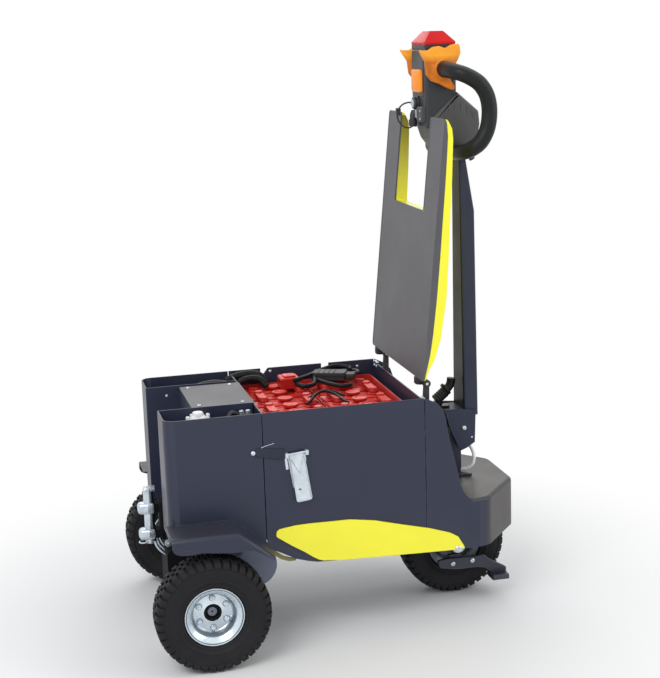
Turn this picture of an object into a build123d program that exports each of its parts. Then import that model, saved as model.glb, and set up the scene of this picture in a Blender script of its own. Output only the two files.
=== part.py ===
from build123d import *
import os
from math import cos, radians, sin, tan

# Electric pedestrian tug: two driven front wheels at the coupling end, a swivel castor under the
# round rear cowl, a traction battery under a hinged lid and a tilting tiller.
# Millimetres, +X towards the tiller and the operator, +Z up, origin on the floor under the middle.
os.makedirs("parts", exist_ok=True)

# ---------------------------------------------------------------- driving dimensions
# running gear
WHEEL_R = 130.0
TYRE_W = 85.0
TRACK = 576.0
FRONT_AXLE_X = -325.0
WHEELBASE = 646.0
CASTOR_TRAIL = 60.0
RIM_R = 67.0            # outside of the rim flanges
RIM_SEAT_R = 51.0       # bead seat
RIM_W = 68.0            # over the flanges
RIM_SHEET = 4.0
RIM_DISH = 30.0         # outside of the flange to the face of the disc
HUB_NOSE_R = 20.0
HUB_NOSE_L = 7.0
HUB_END_L = 11.0
HUB_PLATE_R = 44.0
HUB_PLATE_T = 10.0
SHAFT_R = 15.0
SHAFT_DEPTH = 70.0
RUNNING = 0.05          # radial clearance of a shaft in its bore
TOUCH = 0.3             # gap between faces that almost touch
# body
BODY_W = 438.0
SHEET = 3.0
BODY_TOP = 553.0
SKIRT_Z = 182.0
FLOOR_Z = 280.0
POD_HEM_Z = 275.0       # lower edge of the pods at the front
POD_INNER_Y = 112.0
POD_CORNER_R = 25.0
SEAM = 2.0
RIM_DROP = 6.0          # hidden walls stop this far below the rim
COVER_GAP = 7.0         # control cover to the pods
COWL_TOP = 300.0
COWL_END_HALF_W = 85.0
COWL_CORNER_R = 40.0
COWL_EDGE_R = 9.0
# along the machine: from the front axle
POD_FRONT = 77.0
RECESS_BACK = 3.0
FRONT_SEAM = 142.0
# along the machine: from the castor's axle
REAR_SEAM = 126.0
COWL_SIDE_END = 4.0
COWL_SHOULDER = 32.0
COWL_END = 134.0
PIVOT_REACH = 25.0
# fender
FENDER_OVER = 30.0      # middle of the wheel out to the fender's edge
FENDER_NOSE = 7.0       # fender's front ahead of the pod
FENDER_TOP_Z = 314.0
FENDER_FLAT_END = 64.0  # front axle to the end of the flat top
FENDER_REAR_Z = 253.0
FENDER_EDGE_R = 12.0
# frame under the floor
RAIL_INSET = 64.0       # middle of the rail to the body's side
RAIL_W = 30.0
RAIL_H = 40.0
RAIL_START = 40.0       # ahead of the front axle
RAIL_LENGTH = 420.0
# battery
BATTERY_GAP_Y = 18.0    # tray to the side panels
BATTERY_GAP_X = 10.0    # tray to the bay's walls
TRAY_WALL = 5.0
TRAY_TOP = 519.0
CELL_ROWS = 2
CELLS_PER_ROW = 6
CELL_GAP = 1.5
CELL_TOP = 510.0
CAP_R = 19.0
CAP_H = 11.0
POST_OFFSET_X = 52.0
LINK_W = 26.0
LINK_H = 12.0
PLUG = (84.0, 44.0, 24.0)       # length, width, height
PLUG_AT = (-28.0, -11.0)        # from the middle of the last cell
PLUG_TURN = -24.0
# lid
HINGE_REACH = 17.0      # rear seam to the hinge
HINGE_RISE = 25.0       # rim to the hinge
LID_LEAN = 5.8          # degrees past upright when open
LID_DROP = 20.0         # hinge axis to the underside of the lid
LID_START = 12.0
LID_FRONT_GAP = 11.0    # closed lid's front edge to the pods' front
LID_NOTCH_GAP = 5.0
LID_NOTCH_HALF_W = 118.0
LID_SHEET = 2.5
PANEL_T = 2.0
HOOD_CORNER_R = 10.0
PANEL_CORNER_R = 7.0
HINGE_INSET = 49.0      # hinge to the body's side
KNUCKLE_R = 7.0
HINGE_PIN_R = 3.0
KNUCKLE_W = 18.0
KNUCKLE_GAP = 0.5
LEAF_L = 35.0
LEAF_T = 3.0
# tiller
PIVOT_Z = 424.0
PIVOT_R = 6.0
PIVOT_HEAD_R = 9.0
PIVOT_HEAD_L = 7.0
BOSS_R = 22.0
POST_HALF_W = 26.0
POST_BASE = (68.0, 88.0, 6.0)   # length, width, thickness
CHEEK_Y = 42.0
CHEEK_T = 5.0
COLUMN_REACH = 3.0      # pivot to the column's front face
COLUMN_DEPTH = 36.0
COLUMN_TOP_DEPTH = 17.0
COLUMN_FOOT = 29.0      # pivot up to the column's lower end
COLUMN_TAPER = 122.0
COLUMN_TOP_HALF_W = 30.0
LOCK_R = 13.0
LOCK_L = 56.0
LOCK_LEAN = (0.52, 0.1, 0.84)
HEAD_LEAD = 84.0        # head's front face ahead of the pivot
HEAD_L = 75.0
HEAD_H = 190.0
HEAD_HALF_W = 56.0
HEAD_TOP_Z = 1340.0
HEAD_CAP_H = 30.0
BOWL_H = 268.0          # top of the head to the lower end of the bowl
BOWL_HALF_W = 62.0
BOWL_FLANK = 12.0
BOWL_DRAW = 0.87        # size of the bowl's outer face over its middle
GRIP_R = 18.0
GRIP_Y = 150.0
KNOB_W = 22.0
CONDUIT_R = 3.5
# coupling
PIN_REACH = 20.0        # pin ahead of the pods
PIN_R = 10.0
JAW_R = 20.0
UPPER_JAW_Z = (276.0, 305.0)
LOWER_JAW_Z = (215.0, 239.0)
PIN_Z = (205.0, 342.0)
# drive
GEARCASE_HALF_L = 67.0
GEARCASE_Z = (68.0, 200.0)
GEARCASE_HALF_W = 58.0
AXLE_TUBE_R = 28.0
AXLE_TUBE_GAP = 26.0    # end of the tube to the middle of the wheel
MOTOR_REACH = 120.0     # behind the front axle
MOTOR_Z = 185.0
MOTOR_R = 50.0
MOTOR_INSET = 33.0      # motor's end to the body's side
# castor
SWIVEL_PLATE_HALF = 55.0
SWIVEL_PLATE_T = 12.0
RACE_R = 40.0
RACE_H = 6.0
KINGPIN_R = 10.0
CROWN_T = 10.0
CROWN_GAP = 6.0
CROWN_NOSE = 45.0       # crown ahead of the swivel
CROWN_TAIL = 22.0       # crown behind the axle
LEG_Y = 52.0
LEG_T = 8.0
LEG_SHOULDER = 14.0
FORK_EYE_R = 24.0
CASTOR_AXLE_R = 10.0
AXLE_HEAD_R = 16.0
AXLE_HEAD_L = 8.0

# ---------------------------------------------------------------- worked out from them
HALF_W = BODY_W / 2
AXLE_Z = WHEEL_R
WHEEL_Y = TRACK / 2
AXLE_TUBE_END = WHEEL_Y - AXLE_TUBE_GAP
SIDES = (("left", -1), ("right", 1))
POD_FRONT_X = FRONT_AXLE_X - POD_FRONT
RECESS_BACK_X = FRONT_AXLE_X + RECESS_BACK
FRONT_SEAM_X = FRONT_AXLE_X + FRONT_SEAM
DIVIDER_X = FRONT_SEAM_X + SHEET
REAR_AXLE_X = FRONT_AXLE_X + WHEELBASE
SWIVEL_X = REAR_AXLE_X - CASTOR_TRAIL
REAR_SEAM_X = REAR_AXLE_X - REAR_SEAM
COWL_SIDE_END_X = REAR_AXLE_X + COWL_SIDE_END
COWL_SHOULDER_X = REAR_AXLE_X + COWL_SHOULDER
COWL_SHOULDER_Y = HALF_W - 10
COWL_END_X = REAR_AXLE_X + COWL_END
WALL_TOP = BODY_TOP - RIM_DROP
FENDER_Y = WHEEL_Y + FENDER_OVER
FENDER_FRONT_X = POD_FRONT_X - FENDER_NOSE
FENDER_FLAT_END_X = FRONT_AXLE_X + FENDER_FLAT_END
FENDER_END_X = FRONT_SEAM_X - SEAM / 2
RAIL_Y = HALF_W - RAIL_INSET
RAIL_X = (FRONT_AXLE_X - RAIL_START, FRONT_AXLE_X - RAIL_START + RAIL_LENGTH)
BATTERY_X = (DIVIDER_X + SHEET + BATTERY_GAP_X, REAR_SEAM_X - SEAM - BATTERY_GAP_X - 4)
BATTERY_HALF_W = HALF_W - SHEET - BATTERY_GAP_Y
HINGE_X = REAR_SEAM_X + HINGE_REACH
HINGE_Y = HALF_W - HINGE_INSET
HINGE_Z = BODY_TOP + HINGE_RISE
LID_END = HINGE_X - POD_FRONT_X - LID_FRONT_GAP
LID_NOTCH_START = HINGE_X - FRONT_SEAM_X - LID_NOTCH_GAP
PIVOT_X = REAR_AXLE_X + PIVOT_REACH
COLUMN_FRONT_X = PIVOT_X + COLUMN_REACH
COLUMN_TOP_Z = HEAD_TOP_Z - BOWL_H
HEAD_X = (PIVOT_X - HEAD_LEAD, PIVOT_X - HEAD_LEAD + HEAD_L)
HEAD_BASE_Z = HEAD_TOP_Z - HEAD_H
CAP_TOP_Z = HEAD_TOP_Z + HEAD_CAP_H
PIN_X = POD_FRONT_X - PIN_REACH
GEARCASE_X = (FRONT_AXLE_X - GEARCASE_HALF_L, FRONT_AXLE_X + GEARCASE_HALF_L)
MOTOR_X = FRONT_AXLE_X + MOTOR_REACH
MOTOR_Y = (MOTOR_INSET - HALF_W, -GEARCASE_HALF_W)


def side_plane(y):
    """Plane with local x along X and local y along Z, standing at this y, facing +Y backwards."""
    return Plane(origin=(0, y, 0), x_dir=(1, 0, 0), z_dir=(0, -1, 0))


def outline(x0, z0, offsets):
    """(x, z) points from a table of offsets from one corner."""
    return [(x0 + dx, z0 + dz) for dx, dz in offsets]


def upright_plate(points, y_low, y_high):
    """Plate with an (x, z) outline, between two values of y."""
    with BuildPart(mode=Mode.PRIVATE) as plate:
        with BuildSketch(side_plane(y_high)):
            with BuildLine():
                Polyline(*points, close=True)
            make_face()
        extrude(amount=y_high - y_low)
    return plate.part


def block(x, y, z):
    """Box between two values of x, of y and of z."""
    centre = ((x[0] + x[1]) / 2, (y[0] + y[1]) / 2, (z[0] + z[1]) / 2)
    return Pos(*centre) * Box(x[1] - x[0], y[1] - y[0], z[1] - z[0], mode=Mode.PRIVATE)


def rod(radius, start, end):
    """Round bar from one point to another."""
    axis = Vector(*end) - Vector(*start)
    with BuildPart(mode=Mode.PRIVATE) as bar:
        with BuildSketch(Plane(origin=start, z_dir=tuple(axis))):
            Circle(radius)
        extrude(amount=axis.length)
    return bar.part


def bend_radii(points):
    """Radius of each bend: 0.45 of the shorter run over the tangent of half the turn."""
    radii = []
    for before, here, after in zip(points, points[1:], points[2:]):
        run_in = Vector(*here) - Vector(*before)
        run_out = Vector(*after) - Vector(*here)
        turn = radians(run_in.get_angle(run_out))
        radii.append(0.45 * min(run_in.length, run_out.length) / tan(turn / 2))
    return radii


def tube(name, radius, points):
    """Round tube along straight runs joined by tangent arcs."""
    radii = bend_radii(points)
    print(name, "bend radii", [round(r, 1) for r in radii])
    with BuildPart() as run:
        with BuildLine() as path:
            FilletPolyline(*points, radius=radii)
        with BuildSketch(Plane(origin=path.line @ 0, z_dir=path.line % 0)):
            Circle(radius)
        sweep()
    return run.part


def save(piece, name):
    """Label the finished piece and write it."""
    piece.label = name
    export_step(piece, f"parts/{name}.step")


# ---------------------------------------------------------------- chassis
def chassis_frame():
    """Floor sheet with the coupling recess cut out, and two box rails under it."""
    edge = HALF_W - SHEET
    front = POD_FRONT_X + SHEET
    rear = REAR_SEAM_X - SEAM
    recess_x, recess_y = RECESS_BACK_X + SHEET, POD_INNER_Y + SHEET
    with BuildPart() as frame:
        with BuildSketch(Plane.XY.offset(FLOOR_Z)):
            with BuildLine():
                Polyline((front, -edge), (rear, -edge), (rear, edge), (front, edge), (front, recess_y),
                         (recess_x, recess_y), (recess_x, -recess_y), (front, -recess_y), close=True)
            make_face()
        extrude(amount=SHEET)
        uprights = frame.edges().filter_by(Axis.Z).filter_by_position(Axis.X, front - 1, front + 1)
        fillet(uprights.filter_by(lambda e: abs(e.center().Y) > edge - 1), POD_CORNER_R - SHEET)
        for y in (-RAIL_Y, RAIL_Y):
            add(block(RAIL_X, (y - RAIL_W / 2, y + RAIL_W / 2), (FLOOR_Z - RAIL_H, FLOOR_Z)))
    return frame.part


def fender_outline(drop):
    """Side view of the space under the fender's top, lowered by a sheet."""
    bottom = FLOOR_Z - 100
    return [
        (FENDER_FRONT_X, FENDER_TOP_Z - drop), (FENDER_FLAT_END_X, FENDER_TOP_Z - drop),
        (FENDER_END_X, FENDER_REAR_Z - drop), (FENDER_END_X, bottom), (FENDER_FRONT_X, bottom)]


# lower edge of the wheel arch, front to rear: (x, z)
ARCH_FRONT = outline(FENDER_FRONT_X, FENDER_TOP_Z, [(-1, -7), (6, -11), (26, -25), (59, -34), (124, -42)])
ARCH_REAR = [(FENDER_FLAT_END_X + 32, FENDER_TOP_Z - 43), (FENDER_END_X + 1, FENDER_REAR_Z - 10)]


def pod_block(side, inset, past):
    """Solid of the pod's plan, inset by a sheet and running past its open ends."""
    low, high = sorted((side * (POD_INNER_Y + inset), side * (HALF_W - inset)))
    x = (POD_FRONT_X + inset, FENDER_END_X + past)
    with BuildPart(mode=Mode.PRIVATE) as body:
        add(block(x, (low, high), (SKIRT_Z - past, BODY_TOP + past)))
        corner = body.edges().filter_by(Axis.Z).group_by(Axis.X)[0].sort_by(Axis.Y)[-1 if side > 0 else 0]
        fillet(corner, POD_CORNER_R - inset)
    return body.part


def pod(side):
    """Front corner pod: front, outer and inner walls in one sheet, with the fender over the wheel."""
    low, high = sorted((side * (POD_INNER_Y - 1), side * (HALF_W + 1)))
    inner_low, inner_high = sorted((side * (POD_INNER_Y - 1), side * (POD_INNER_Y + SHEET + 1)))
    front, rear, bottom = POD_FRONT_X - 1, FENDER_END_X + 1, SKIRT_Z - 1
    arch = [(front, POD_HEM_Z)] + ARCH_REAR + [(rear, bottom), (front, bottom)]
    with BuildPart() as shell:
        add(pod_block(side, 0, 0))
        add(pod_block(side, SHEET, 1), mode=Mode.SUBTRACT)
        add(upright_plate(arch, low, high), mode=Mode.SUBTRACT)
        # behind the recess the inner wall stands on the floor sheet
        add(block((RECESS_BACK_X + SHEET, FRONT_SEAM_X), (inner_low, inner_high), (bottom, FLOOR_Z + SHEET)),
            mode=Mode.SUBTRACT)
        add(fender(side))
    return shell.part


def fender_block(side, inset, past):
    """Solid under the fender's top with its outer edge rounded, inset by a sheet."""
    far = side * (FENDER_Y - inset)
    low, high = sorted((side * (HALF_W - SHEET), far))
    outline = [(x + past * (1 if x > FENDER_FLAT_END_X else -1 if x == FENDER_FRONT_X else 0), z)
               for x, z in fender_outline(inset)]
    with BuildPart(mode=Mode.PRIVATE) as body:
        add(upright_plate(outline, low, high))
        outer = body.edges().filter_by_position(Axis.Y, far - 0.1, far + 0.1)
        top = outer.filter_by_position(Axis.Z, FENDER_REAR_Z - inset - 2, FENDER_TOP_Z + 1)
        fillet([edge for edge in top if abs(edge.tangent_at(0.5).Z) < 0.9], FENDER_EDGE_R - inset)
    return body.part


def fender(side):
    """Flat shelf over the wheel with a rounded edge, a lip, and a slope down behind."""
    low, high = sorted((side * (HALF_W - SHEET), side * FENDER_Y))
    arch = ARCH_FRONT + ARCH_REAR + [(FENDER_END_X + 1, SKIRT_Z - 15), (FENDER_FRONT_X - 1, SKIRT_Z - 15)]
    with BuildPart(mode=Mode.PRIVATE) as shell:
        add(fender_block(side, 0, 0))
        add(fender_block(side, SHEET, 1), mode=Mode.SUBTRACT)
        add(upright_plate(arch, low - 1, high + 1), mode=Mode.SUBTRACT)
    return shell.part


NOTCH_H = 14.0
# notches of the right panel's rim: left end, right end, slant
NOTCHES = [(FRONT_SEAM_X + 82, FRONT_SEAM_X + 102, 12), (REAR_SEAM_X - 139, REAR_SEAM_X - 120, 0)]
# lower front corner of the side panels, rear to front: (x from the seam, z from the skirt's lower edge)
PANEL_CORNER = [(116, 9), (93, 14), (67, 22), (31, 41), (6, 53), (1, 62)]


def side_panel(side, notches):
    """Flat middle panel of the body, notched along its top edge on the far side."""
    front, rear = FRONT_SEAM_X + SEAM / 2, REAR_SEAM_X - SEAM / 2
    low, high = sorted((side * (HALF_W - SHEET), side * HALF_W))
    side_view = [(front, BODY_TOP), (rear, BODY_TOP), (rear, SKIRT_Z)]
    side_view += outline(FRONT_SEAM_X, SKIRT_Z, PANEL_CORNER)
    with BuildPart() as panel:
        add(upright_plate(side_view, low, high))
        for left, right, slant in notches:
            cut = [(left, BODY_TOP - NOTCH_H), (right - slant, BODY_TOP - NOTCH_H), (right, BODY_TOP + 1),
                   (left, BODY_TOP + 1)]
            add(upright_plate(cut, low - 1, high + 1), mode=Mode.SUBTRACT)
    return panel.part


def cowl_plan(inset):
    """Plan of the rear cowl, inset by a sheet: straight sides, two facets and a flat end."""
    half = HALF_W - inset
    front, end = REAR_SEAM_X + SEAM / 2, COWL_END_X - inset
    # the facets lean, so a sheet moves their ends by less along each axis
    shoulder_x, shoulder_y = COWL_SHOULDER_X - inset * 0.6, COWL_SHOULDER_Y - inset
    end_y = COWL_END_HALF_W - inset * 0.5
    return [(front, -half), (COWL_SIDE_END_X, -half), (shoulder_x, -shoulder_y), (end, -end_y),
            (end, end_y), (shoulder_x, shoulder_y), (COWL_SIDE_END_X, half), (front, half)]


def cowl_block(inset, low, high, corner_r):
    """Solid of the cowl's plan between two heights, its rear corners rounded."""
    with BuildPart(mode=Mode.PRIVATE) as body:
        with BuildSketch(Plane.XY.offset(low)):
            with BuildLine():
                Polyline(*cowl_plan(inset), close=True)
            make_face()
        extrude(amount=high - low)
        rear = body.edges().filter_by(Axis.Z).filter_by_position(Axis.X, COWL_SIDE_END_X - 5, COWL_END_X + 1)
        fillet(rear.filter_by_position(Axis.X, COWL_SHOULDER_X - 10, COWL_END_X + 1), corner_r)
    return body.part


# rear edge of the cheeks, from the rim down to the cowl: (x from the seam, share of the height)
CHEEK_SHARES = [(17, 0.97), (31, 0.94), (43, 0.885), (50, 0.8), (54, 0.684), (61, 0.54), (70, 0.395),
                (77, 0.277), (82, 0.17), (89, 0.1), (98, 0.04), (112, -0.004)]
CHEEK_EDGE = [(REAR_SEAM_X + dx, COWL_TOP + share * (BODY_TOP - COWL_TOP)) for dx, share in CHEEK_SHARES]


def rear_cowl():
    """Hollow cowl over the castor, with the two cheeks that rise beside the battery's rear wall."""
    front = REAR_SEAM_X + SEAM / 2
    root = COWL_TOP - 20
    with BuildPart() as cowl:
        add(cowl_block(0, SKIRT_Z, COWL_TOP, COWL_CORNER_R))
        rim = cowl.faces().sort_by(Axis.Z)[-1].edges().filter_by_position(Axis.X, front + 20, COWL_END_X + 1)
        fillet(rim, COWL_EDGE_R)
        add(cowl_block(SHEET, SKIRT_Z - 1, COWL_TOP - SHEET, COWL_CORNER_R - SHEET), mode=Mode.SUBTRACT)
        add(block((front - 1, front + SHEET), (-HALF_W + SHEET, HALF_W - SHEET), (SKIRT_Z - 1, COWL_TOP - SHEET)),
            mode=Mode.SUBTRACT)
        for side in (-1, 1):
            low, high = sorted((side * (HALF_W - SHEET), side * HALF_W))
            cheek = [(front, root), (front, BODY_TOP)] + CHEEK_EDGE + [(CHEEK_EDGE[-1][0], root)]
            add(upright_plate(cheek, low, high))
    return cowl.part


def bay_walls():
    """Front and rear walls of the battery bay."""
    half = HALF_W - SHEET
    with BuildPart() as walls:
        add(block((DIVIDER_X, DIVIDER_X + SHEET), (-half, half), (FLOOR_Z + SHEET, WALL_TOP)))
        add(block((REAR_SEAM_X - SEAM, REAR_SEAM_X + SEAM / 2), (-half, half), (FLOOR_Z, WALL_TOP)))
    return walls.part


def coupling_bulkhead():
    """Wall at the back of the recess between the pods, which carries the coupling."""
    with BuildPart() as wall:
        add(block((RECESS_BACK_X, RECESS_BACK_X + SHEET), (-POD_INNER_Y, POD_INNER_Y), (GEARCASE_Z[1], WALL_TOP)))
    return wall.part


def control_cover():
    """Plate over the control box between the pods."""
    half = POD_INNER_Y - COVER_GAP
    with BuildPart() as cover:
        add(block((RECESS_BACK_X, DIVIDER_X + SHEET), (-half, half), (WALL_TOP, WALL_TOP + SHEET)))
        fillet(cover.edges().filter_by(Axis.Z), 4)
    return cover.part


# connectors on the inner wall of the left pod: x from the pod's front, depth from the wall, z from the rim
SOCKET = ((62, 116), 42, (-47, -7))
SOCKET_WALL = 6.0
SOCKET_CUP = 20.0
RELAY = ((176, 214), 40, (-63, -17))
RELAY_POST_R = 5.0
RELAY_POST_H = 9.0


def charge_socket():
    """Charging connector on the inner wall of the left pod."""
    (start, end), depth, (base, top) = SOCKET
    x = (POD_FRONT_X + start, POD_FRONT_X + end)
    y = (-POD_INNER_Y - SHEET - depth, -POD_INNER_Y - SHEET)
    with BuildPart() as socket:
        add(block(x, y, (BODY_TOP + base, BODY_TOP + top)))
        fillet(socket.edges().filter_by(Axis.Z), 4)
        cup_x, cup_y = (x[0] + SOCKET_WALL, x[1] - SOCKET_WALL), (y[0] + SOCKET_WALL, y[1] - SOCKET_WALL)
        add(block(cup_x, cup_y, (BODY_TOP + top - SOCKET_CUP, BODY_TOP + top + 1)), mode=Mode.SUBTRACT)
    return socket.part


def relay():
    """Contactor on the inner wall of the left pod."""
    (start, end), depth, (base, top) = RELAY
    x = (POD_FRONT_X + start, POD_FRONT_X + end)
    y = (-POD_INNER_Y - SHEET - depth, -POD_INNER_Y - SHEET)
    with BuildPart() as unit:
        add(block(x, y, (BODY_TOP + base, BODY_TOP + top)))
        fillet(unit.edges().filter_by(Axis.Z), 3)
        for post_x in (x[0] + 2 * RELAY_POST_R, x[1] - 2 * RELAY_POST_R):
            foot = (post_x, (y[0] + y[1]) / 2, BODY_TOP + top - 1)
            add(rod(RELAY_POST_R, foot, (foot[0], foot[1], foot[2] + RELAY_POST_H + 1)))
    return unit.part


# ---------------------------------------------------------------- battery
def battery_tray():
    """Open steel tray that holds the cells."""
    with BuildPart() as tray:
        low = FLOOR_Z + SHEET
        add(block(BATTERY_X, (-BATTERY_HALF_W, BATTERY_HALF_W), (low, TRAY_TOP)))
        fillet(tray.edges().filter_by(Axis.Z), 6)
        add(block((BATTERY_X[0] + TRAY_WALL, BATTERY_X[1] - TRAY_WALL),
                  (-BATTERY_HALF_W + TRAY_WALL, BATTERY_HALF_W - TRAY_WALL), (low + TRAY_WALL, TRAY_TOP + 1)),
            mode=Mode.SUBTRACT)
    return tray.part


def cell_centres():
    """(x, y) of every cell, row by row."""
    length = (BATTERY_X[1] - BATTERY_X[0] - 2 * TRAY_WALL) / CELL_ROWS
    pitch = 2 * (BATTERY_HALF_W - TRAY_WALL) / CELLS_PER_ROW
    first_x = BATTERY_X[0] + TRAY_WALL + length / 2
    first_y = -BATTERY_HALF_W + TRAY_WALL + pitch / 2
    return [(first_x + row * length, first_y + n * pitch) for row in range(CELL_ROWS) for n in range(CELLS_PER_ROW)]


def battery_cells():
    """Separate cells, each with a filler cap."""
    length = (BATTERY_X[1] - BATTERY_X[0] - 2 * TRAY_WALL) / CELL_ROWS - CELL_GAP
    width = 2 * (BATTERY_HALF_W - TRAY_WALL) / CELLS_PER_ROW - CELL_GAP
    low = FLOOR_Z + SHEET + TRAY_WALL
    with BuildPart() as cells:
        with BuildSketch(Plane.XY.offset(low)):
            with Locations(*cell_centres()):
                RectangleRounded(length, width, 4)
        extrude(amount=CELL_TOP - low)
        with BuildSketch(Plane.XY.offset(CELL_TOP)):
            with Locations(*cell_centres()):
                Circle(CAP_R)
        extrude(amount=CAP_H)
    return cells.part


def battery_links():
    """Insulated links from each cell's post to its neighbour's."""
    pitch = 2 * (BATTERY_HALF_W - TRAY_WALL) / CELLS_PER_ROW
    centres = cell_centres()
    with BuildPart() as links:
        for row in range(CELL_ROWS):
            for n in range(CELLS_PER_ROW - 1):
                x, y = centres[row * CELLS_PER_ROW + n]
                shift = POST_OFFSET_X if n % 2 == row % 2 else -POST_OFFSET_X
                add(block((x + shift - LINK_W / 2, x + shift + LINK_W / 2), (y - LINK_W / 2, y + pitch + LINK_W / 2),
                          (CELL_TOP, CELL_TOP + LINK_H)))
    return links.part


def battery_plug():
    """Two-pole battery connector, lying on the links."""
    length, width, height = PLUG
    x, y = cell_centres()[-1][0] + PLUG_AT[0], cell_centres()[-1][1] + PLUG_AT[1]
    with BuildPart() as plug:
        with BuildSketch(Plane(origin=(x, y, CELL_TOP + LINK_H), z_dir=(0, 0, 1))):
            with Locations(Rot(0, 0, PLUG_TURN)):
                RectangleRounded(length, width, 6)
        extrude(amount=height)
        fillet(plug.edges().filter_by(Plane.XY).group_by(Axis.Z)[-1], 4)
    return plug.part


# ---------------------------------------------------------------- lid
LID_TILT = radians(LID_LEAN)
LID_ALONG = (sin(LID_TILT), 0, cos(LID_TILT))
LID_OUT = (cos(LID_TILT), 0, -sin(LID_TILT))
# section of the lid in its own plane, y from the hinge axis outwards to its free end, z outwards
LID_EDGE_PLANE = Plane(origin=(HINGE_X, 0, HINGE_Z), x_dir=LID_ALONG, z_dir=(0, 1, 0))
LID_PLAN_PLANE = Plane(origin=(HINGE_X, 0, HINGE_Z), x_dir=LID_ALONG, z_dir=LID_OUT)
# top of the hood: along from the hinge or back from the free end, and outwards from the hinge axis
HOOD_HINGE_END = [(LID_START, -15.0), (39, -8.5), (61, 2), (112, 13), (202, 18.7)]
HOOD_FREE_END = [(-310, 16.3), (-219, 12), (-130, 8.8), (-41, 3.7), (-19, -0.6), (0, -12)]
HOOD_LINE = HOOD_HINGE_END + [(LID_END + back, out) for back, out in HOOD_FREE_END]


def hood_solid(inset):
    """Solid of the hood, inset by its sheet; the underside stays open."""
    start, end = LID_START + inset, LID_END - inset
    line = [(start, -LID_DROP)]
    for along, out in HOOD_LINE:
        line.append((min(max(along, start), end), max(out - inset, -LID_DROP)))
    line.append((end, -LID_DROP))
    notch_start, notch_end = LID_NOTCH_START - inset, LID_END + 10
    with BuildPart(mode=Mode.PRIVATE) as hood:
        with BuildSketch(LID_EDGE_PLANE):
            with BuildLine():
                Polyline(*line, close=True)
            make_face()
        extrude(amount=HALF_W - inset, both=True)
        with BuildSketch(LID_PLAN_PLANE.offset(-LID_DROP - 5)):
            with Locations(((notch_start + notch_end) / 2, 0)):
                Rectangle(notch_end - notch_start, 2 * (LID_NOTCH_HALF_W + inset))
        extrude(amount=4 * LID_DROP, mode=Mode.SUBTRACT)
        corners = hood.edges().filter_by(lambda e: abs(e.tangent_at(0.5).dot(Vector(*LID_OUT))) > 0.99)
        fillet(corners, HOOD_CORNER_R - inset)
    return hood.part


def lid_hood():
    """Yellow pressed hood, hollow underneath, with the notch for the control box."""
    with BuildPart() as hood:
        add(hood_solid(0))
        add(hood_solid(LID_SHEET), mode=Mode.SUBTRACT)
    return hood.part


def lid_panel():
    """Flat panel that closes the underside of the hood."""
    edge = LID_SHEET + TOUCH
    horn_y = (LID_NOTCH_HALF_W + HALF_W) / 2
    horn_w = HALF_W - LID_NOTCH_HALF_W - 2 * edge
    start, end, tip = LID_START + edge, LID_NOTCH_START - edge, LID_END - edge
    with BuildPart() as panel:
        with BuildSketch(LID_PLAN_PLANE.offset(-LID_DROP)):
            with Locations(((start + end) / 2, 0)):
                Rectangle(end - start, BODY_W - 2 * edge)
            for y in (-horn_y, horn_y):
                with Locations(((end - 5 + tip) / 2, y)):
                    Rectangle(tip - end + 5, horn_w)
        extrude(amount=PANEL_T)
        corners = panel.edges().filter_by(lambda e: abs(e.tangent_at(0.5).dot(Vector(*LID_OUT))) > 0.99)
        fillet(corners, PANEL_CORNER_R)
    return panel.part


def knuckle_spans(y):
    """Where the fixed and the moving knuckle of one hinge lie along the pin."""
    fixed = (y - KNUCKLE_W, y)
    moving = (y + KNUCKLE_GAP, y + KNUCKLE_GAP + KNUCKLE_W)
    return fixed, moving


def bracket_outline():
    """Foot on the wall and a neck up to the hinge axis."""
    wall = REAR_SEAM_X + SEAM / 2
    foot = outline(wall, HINGE_Z, [(0, -43), (0, -73)])
    neck = outline(HINGE_X, HINGE_Z, [(5, -73), (5, 0), (-4, 0), (-4, -38)])
    return foot + neck


def hinge_brackets():
    """Fixed halves of the lid's hinges, on the battery bay's rear wall."""
    with BuildPart() as brackets:
        for y in (-HINGE_Y, HINGE_Y):
            low, high = knuckle_spans(y)[0]
            add(upright_plate(bracket_outline(), low, high))
            add(rod(KNUCKLE_R, (HINGE_X, low, HINGE_Z), (HINGE_X, high, HINGE_Z)))
            add(rod(HINGE_PIN_R + RUNNING, (HINGE_X, low - 1, HINGE_Z), (HINGE_X, high + 1, HINGE_Z)),
                mode=Mode.SUBTRACT)
    return brackets.part


def lid_hinges():
    """Moving halves of the hinges with their pins, on the lid's panel."""
    web = KNUCKLE_R - 1
    with BuildPart() as hinges:
        for y in (-HINGE_Y, HINGE_Y):
            fixed, (low, high) = knuckle_spans(y)
            add(rod(KNUCKLE_R, (HINGE_X, low, HINGE_Z), (HINGE_X, high, HINGE_Z)))
            under = Plane(origin=(HINGE_X, (low + high) / 2, HINGE_Z), x_dir=LID_ALONG, z_dir=LID_OUT)
            with BuildSketch(under.offset(-LID_DROP)):
                with Locations((LEAF_L / 2, 0)):
                    Rectangle(LEAF_L, KNUCKLE_W)
            extrude(amount=-LEAF_T)
            with BuildSketch(under.offset(-LID_DROP)):
                with Locations((web / 2, 0)):
                    Rectangle(web, KNUCKLE_W)
            extrude(amount=LID_DROP - 2)
            add(rod(HINGE_PIN_R, (HINGE_X, fixed[0] - 2, HINGE_Z), (HINGE_X, low + 1, HINGE_Z)))
    return hinges.part


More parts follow.
